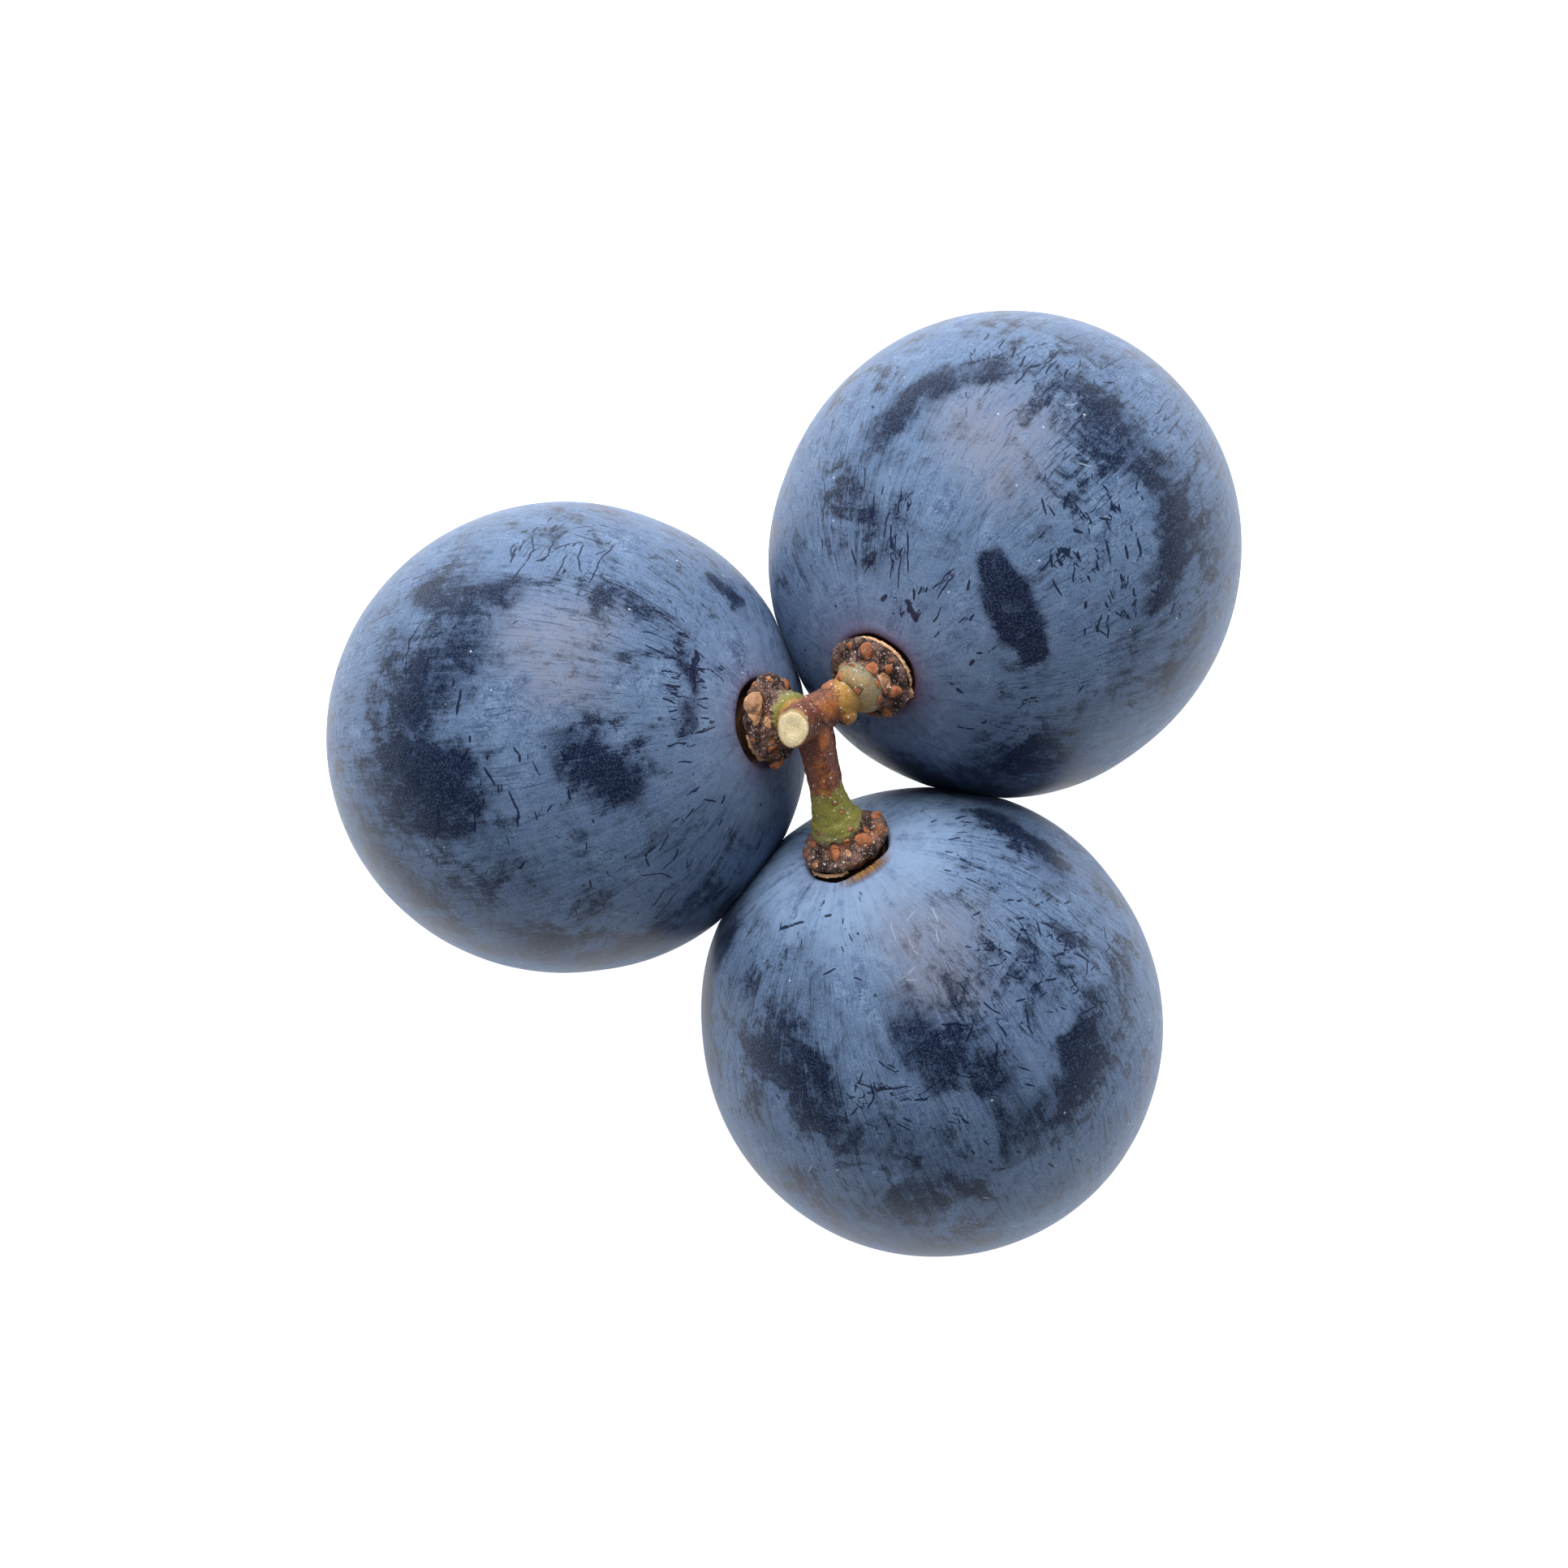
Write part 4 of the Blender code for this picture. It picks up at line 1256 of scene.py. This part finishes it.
class StemFields:
    """What the bark is at each point of the stem, and how far it stands out."""

    def __init__(self, berries, stalk, points, look):
        self.points = points
        count = len(points)
        self.corky, self.wart, self.scale = np.zeros(count), np.zeros(count), np.zeros(count)
        self.brown, self.green, self.golden = np.zeros(count), np.zeros(count), np.zeros(count)
        self.rise = np.zeros(count)
        self.grain = cork_grain(points)
        self.soft = rough(points, 0.9, 4)
        self.fine = rough(points, 3.2, 3)
        nearest = np.full(count, NOWHERE_NEAR)
        shares, owner = {}, np.empty(count, object)
        for berry in berries:
            out, shares[berry.name] = along_line(points, stalk.lines[berry.name])
            mine = out < nearest
            nearest[mine] = out[mine]
            owner[mine] = berry.name
            self.lay_bark(berry, shares[berry.name], mine)
        for berry in berries:
            mine = owner == berry.name
            self.lay_cork(berry, stalk.feet[berry.name], shares[berry.name], mine)
            self.lay_lenticels(berry, stalk.lines[berry.name])
        self.lay_cut(stalk)
        smooth_relief = (self.fine * 0.5 + self.soft) * look.bark_relief / MM
        cork_relief = self.grain * look.cork_relief / MM
        self.rise += smooth_relief * (1 - self.corky) + cork_relief * self.corky
        self.rise += (BARK_SWELL + RIGHT_SWELL * (owner == "berry_right")) * (1 - self.corky)
        self.rise *= 1 - self.cut

    def lay_bark(self, berry, share, mine):
        """Where the bark of one arm is green, golden and brown."""
        green_from, green_to, gold_from, gold_to, brown_from, brown_to = ARM_TONES[berry.name]
        edge = share + self.soft * 0.07 + self.fine * 0.04
        brown = ramp(edge, brown_from, brown_to)
        golden = ramp(edge, gold_from, gold_to)
        green = ramp(edge, green_from, green_to)
        for kept, value in ((self.brown, brown), (self.golden, golden), (self.green, green)):
            kept[mine] = value[mine]

    def lay_cork(self, berry, foot, share, mine):
        """The corky end next to one berry, its bulge, and its warts and scales."""
        height, out, turn = swelling_place(berry, foot, self.points)
        near = (height < SWELLING_LENGTH + 0.8) & (out < 3.0)
        edge = height + self.soft * 0.25 + self.fine * 0.12
        cork = ramp(edge, 1.75, 1.25) * near
        self.corky = np.maximum(self.corky, cork)
        cone = ramp(height, 0.8, 1.7) * ramp(share, 0.42, 0.04) * mine
        bulge = ramp(height, 1.3, 0.7) * ramp(height, 0.30, 0.60) * ramp(out, 1.5, 2.0)
        self.rise += 0.28 * bulge * near
        self.rise += 0.30 * cone
        for at, level, wide, tall, rise, orange in WARTS[berry.name]:
            aside = (turn - at + 180) % 360 - 180
            ragged = 1 + 0.25 * self.fine
            far = np.hypot(np.radians(aside) * out / wide, (height - level) / tall) * ragged
            self.add_mark(far + (~near) * 9, rise, orange)

    def lay_lenticels(self, berry, line):
        """The small raised spots on the smooth bark of one arm."""
        steps = len(line) - 1
        for share, bearing, radius, rise in LENTICELS[berry.name]:
            here = round(share * steps)
            run = line[min(here + 1, steps)] - line[max(here - 1, 0)]
            aside = np.cross(run / np.linalg.norm(run), (0.0, 0.0, 1.0))
            aside = aside / np.linalg.norm(aside)
            top = np.cross(aside, run / np.linalg.norm(run))
            angle = math.radians(bearing)
            out = top * math.cos(angle) + aside * math.sin(angle)
            place = line[here] + out * (0.95 if share > 0.1 else 1.3)
            far = np.linalg.norm(self.points - place, axis=1) / (radius * MARK_SPREAD)
            far = far * (1 + 0.2 * self.fine)
            self.add_mark(far, rise, 1)

    def add_mark(self, far, rise, orange):
        """One domed mark, from how far each point is from its middle, 1 being its edge."""
        self.rise += rise * np.sqrt(np.clip(1 - far * far, 0, 1))
        inside = ramp(far, 1.35, 0.55)
        if orange:
            self.wart = np.maximum(self.wart, inside)
        else:
            self.scale = np.maximum(self.scale, inside)

    def lay_cut(self, stalk):
        """The cut face and its yellow rim."""
        offset = self.points - stalk.cut
        below = offset @ stalk.up
        out = np.linalg.norm(offset - below[:, None] * stalk.up, axis=1)
        near = out < CUT_EDGE
        self.cut = ramp(below, -0.10, -0.04) * near
        towards = np.maximum(offset @ RIM_SIDE, 0)
        self.rim = ramp(out + towards * 0.22 + self.fine * 0.06, 0.86, 1.02) * self.cut


def shaped_stub(stalk, points):
    """Makes the round stub pear-shaped, wider at one side and notched at the top."""
    offset = points - stalk.cut
    below = offset @ stalk.up
    across = offset - below[:, None] * stalk.up
    out = np.linalg.norm(across, axis=1)
    north = NORTH - (NORTH @ stalk.up) * stalk.up
    north = north / np.linalg.norm(north)
    east = np.cross(north, stalk.up)
    angle = np.arctan2(across @ north, across @ east)
    shape = 0.06 * np.sin(angle) + 0.10 * np.cos(2 * (angle - 1.2)) + 0.05 * np.cos(3 * angle)
    notch = 0.12 * np.exp(-(((angle - 1.9) / 0.28) ** 2))
    grow = (shape + 0.05 - notch) * ramp(below, -1.3, -0.4) * ramp(out, 1.6, 1.1)
    dip = 0.05 * ramp(out, 0.55, 0.15) * ramp(below, -0.1, -0.02)
    return points + across * grow[:, None] - stalk.up * dip[:, None]


class GRAPES_OT_stem(bpy.types.Operator):
    """Builds the forked stem with its corky ends, warts, bark and cut face"""

    bl_idname = "grapes.stem"
    bl_label = "Add Stem"

    def execute(self, context):
        look = context.scene.grape_stem
        berries = [Berry(name) for name in BERRIES]
        stalk = Stalk(berries)
        points, normals, faces = remeshed_stem(look)
        fields = StemFields(berries, stalk, points, look)
        points = shaped_stub(stalk, points + normals * fields.rise[:, None])
        stem = add_mesh("grape_stem", points, faces, bark_material(look))
        keep_field(stem.data, "bark_kind", fields.corky, fields.wart, fields.scale)
        keep_field(stem.data, "bark_tone", fields.brown, fields.green, fields.golden)
        keep_field(stem.data, "bark_cut", fields.cut, np.clip(fields.rim, 0, 1), fields.grain)
        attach(stem, "root")
        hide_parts(STEM)
        return {"FINISHED"}


def flake_ribbon(berry, foot, first, last, width):
    """A thin ragged strip along the edge of a corky end: its points and faces."""
    count = max(12, round((last - first) * 0.9))
    turns = np.linspace(first, last, count)
    points, faces = [], []
    steps = FLAKE_STEPS
    for turn in turns:
        angle = math.radians(turn)
        out = berry.face * math.cos(angle) + berry.side * math.sin(angle)
        ends = min(1.0, (turn - first) / 10, (last - turn) / 10)
        jag = 0.5 + 0.5 * abs(noise.noise(Vector((turn * 0.35, width * 9, foot[0])))) * 2
        lift = 0.08 * noise.noise(Vector((turn * 0.12, 4.0, foot[1])))
        for side in (1, -1):
            for step in range(steps):
                share_out = step / (steps - 1)
                reach = 2.12 + width * jag * max(ends, 0.15) * share_out
                height = 0.34 + lift - 0.16 * share_out + side * 0.022 * (1 - 0.6 * share_out)
                points.append(foot + berry.axis * height + out * reach)
    ring = 2 * steps
    for i in range(count - 1):
        low, high = i * ring, (i + 1) * ring
        for step in range(steps - 1):
            faces.append([low + step, low + step + 1, high + step + 1, high + step])
            under = low + steps + step
            over = high + steps + step
            faces.append([under + 1, under, over, over + 1])
        faces.append([low + steps - 1, low + 2 * steps - 1, high + 2 * steps - 1, high + steps - 1])
        faces.append([low + steps, low, high, high + steps])
    end = (count - 1) * ring
    faces.append(list(range(steps))[::-1] + [steps + k for k in range(steps)])
    faces.append([end + k for k in range(steps)] + [end + steps + k for k in range(steps)][::-1])
    return np.array(points), faces


def flake_material(look):
    """Cream papery bark, browner in streaks."""
    make = Maker("papery_bark")
    here = make.here()
    streaks = make.noise(here, 3.5, 4.0, 0.6)
    tone = make.blend(look.scale, look.cork, streaks.rise(0.5, 0.72) * 0.75)
    tone = make.blend(tone, look.wood, make.noise(here, 9.0, 2.0).rise(0.5, 0.7) * 0.5)
    roughness = 0.7 + (streaks - 0.5) * 0.2
    bump = make.bump(streaks, PAPER_GRAIN)
    return make.surface({"Base Color": tone, "Roughness": roughness, "Normal": bump})


class GRAPES_OT_flakes(bpy.types.Operator):
    """Builds the papery edges of the corky ends"""

    bl_idname = "grapes.flakes"
    bl_label = "Add Papery Edges"

    def execute(self, context):
        look = context.scene.grape_stem
        berries = {name: Berry(name) for name in BERRIES}
        all_points, all_faces, start = [], [], 0
        for name, (first, last), width in FLAKES:
            berry = berries[name]
            points, faces = flake_ribbon(berry, berry.floor + berry.axis * GAP, first, last, width)
            all_points.append(points)
            all_faces += [[start + i for i in face] for face in faces]
            start += len(points)
        flakes = add_mesh("bark_flakes", np.vstack(all_points), all_faces, flake_material(look))
        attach(flakes, "root")
        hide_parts(STEM)
        return {"FINISHED"}


# ---------------------------------------------------------------------------
# Stage


SENSOR = 36.0  # width of the camera's sensor, in mm
AIM_SHARE = 0.49  # how far up the bunch the camera and the lamp aim
KEY_TOWARDS = (-0.09, 0.73, 0.66)  # from the bunch to the lamp
KEY_TONE = (1.0, 0.985, 0.965)
SURROUND_TONE = (0.97, 0.985, 1.0, 1.0)
FLOOR_TONE = (0.85, 0.85, 0.85, 1.0)
WHITE = (1.0, 1.0, 1.0, 1.0)
FLOOR_HALF = 1500.0  # half the floor's side, in mm
FLOOR_DROP = 0.00002  # how far the floor lies under the bunch, in metres


class GRAPES_OT_stage(bpy.types.Operator):
    """Sets the camera, the soft lights and the plain pale floor"""

    bl_idname = "grapes.stage"
    bl_label = "Set Stage"

    def execute(self, context):
        scene = context.scene
        look = scene.grape_stage
        low, high = CAD_BOX
        middle = (low + high) / 2
        middle.z = low.z + (high.z - low.z) * AIM_SHARE

        camera = bpy.data.objects.new("grape_camera", bpy.data.cameras.new("grape_camera"))
        scene.collection.objects.link(camera)
        camera.location = (middle.x, middle.y, look.camera_height)
        camera.data.sensor_width = SENSOR
        camera.data.lens = SENSOR * (look.camera_height - middle.z) / look.view_width
        camera.data.clip_start = 0.01
        scene.camera = camera

        toward = Vector(KEY_TOWARDS).normalized()
        lamp = bpy.data.lights.new("key_light", "AREA")
        lamp.shape = "SQUARE"
        lamp.size = look.key_size
        lamp.energy = look.key_power
        lamp.color = KEY_TONE
        key = bpy.data.objects.new("key_light", lamp)
        key.location = middle + toward * look.key_distance
        key.rotation_mode = "QUATERNION"
        key.rotation_quaternion = toward.to_track_quat("Z", "Y")
        scene.collection.objects.link(key)

        world = bpy.data.worlds.new("white_surround")
        scene.world = world
        sky = Maker("white_surround", world)
        upward = sky.parts(sky.node("ShaderNodeTexCoord", {}, {}, "Generated"))[2]
        strength = look.surround + (1.0 - look.surround) * upward.rise(0.22, 0.02)
        glow = sky.node("ShaderNodeBackground", {}, {"Color": SURROUND_TONE, "Strength": strength})
        sky.node("ShaderNodeOutputWorld", {}, {"Surface": glow})
        scene.view_settings.view_transform = "Standard"

        glowing = {"Emission Color": WHITE, "Emission Strength": look.floor_glow}
        material = Maker("white_floor").surface({"Base Color": FLOOR_TONE, "Roughness": 0.9, **glowing})
        corners = FLOOR_HALF * np.array([(-1, -1, 0), (1, -1, 0), (1, 1, 0), (-1, 1, 0)])
        floor = add_mesh("studio_floor", corners, [(0, 1, 2, 3)], material)
        floor.location.z = low.z - FLOOR_DROP
        return {"FINISHED"}


class GRAPES_PT_panel(bpy.types.Panel):
    """Lists the steps that build the grapes"""

    bl_idname = "GRAPES_PT_panel"
    bl_label = "Bunch of Grapes"
    bl_space_type = "VIEW_3D"
    bl_region_type = "UI"
    bl_category = "Grapes"

    def draw(self, context):
        for step in STEPS:
            self.layout.operator(step.bl_idname)


SETTINGS = {
    "grape_skin": GrapeSkinSettings,
    "grape_stem": GrapeStemSettings,
    "grape_stage": GrapeStageSettings,
}
STEPS = (GRAPES_OT_berries, GRAPES_OT_stem, GRAPES_OT_flakes, GRAPES_OT_stage)
CLASSES = (*SETTINGS.values(), *STEPS, GRAPES_PT_panel)


def register():
    for one in CLASSES:
        bpy.utils.register_class(one)
    for name, group in SETTINGS.items():
        setattr(bpy.types.Scene, name, PointerProperty(type=group))


def unregister():
    for name in SETTINGS:
        delattr(bpy.types.Scene, name)
    for one in reversed(CLASSES):
        bpy.utils.unregister_class(one)


def main():
    """Builds everything in order."""
    register()
    bpy.ops.grapes.berries()
    bpy.ops.grapes.stem()
    bpy.ops.grapes.flakes()
    bpy.ops.grapes.stage()


if __name__ == "__main__":
    main()
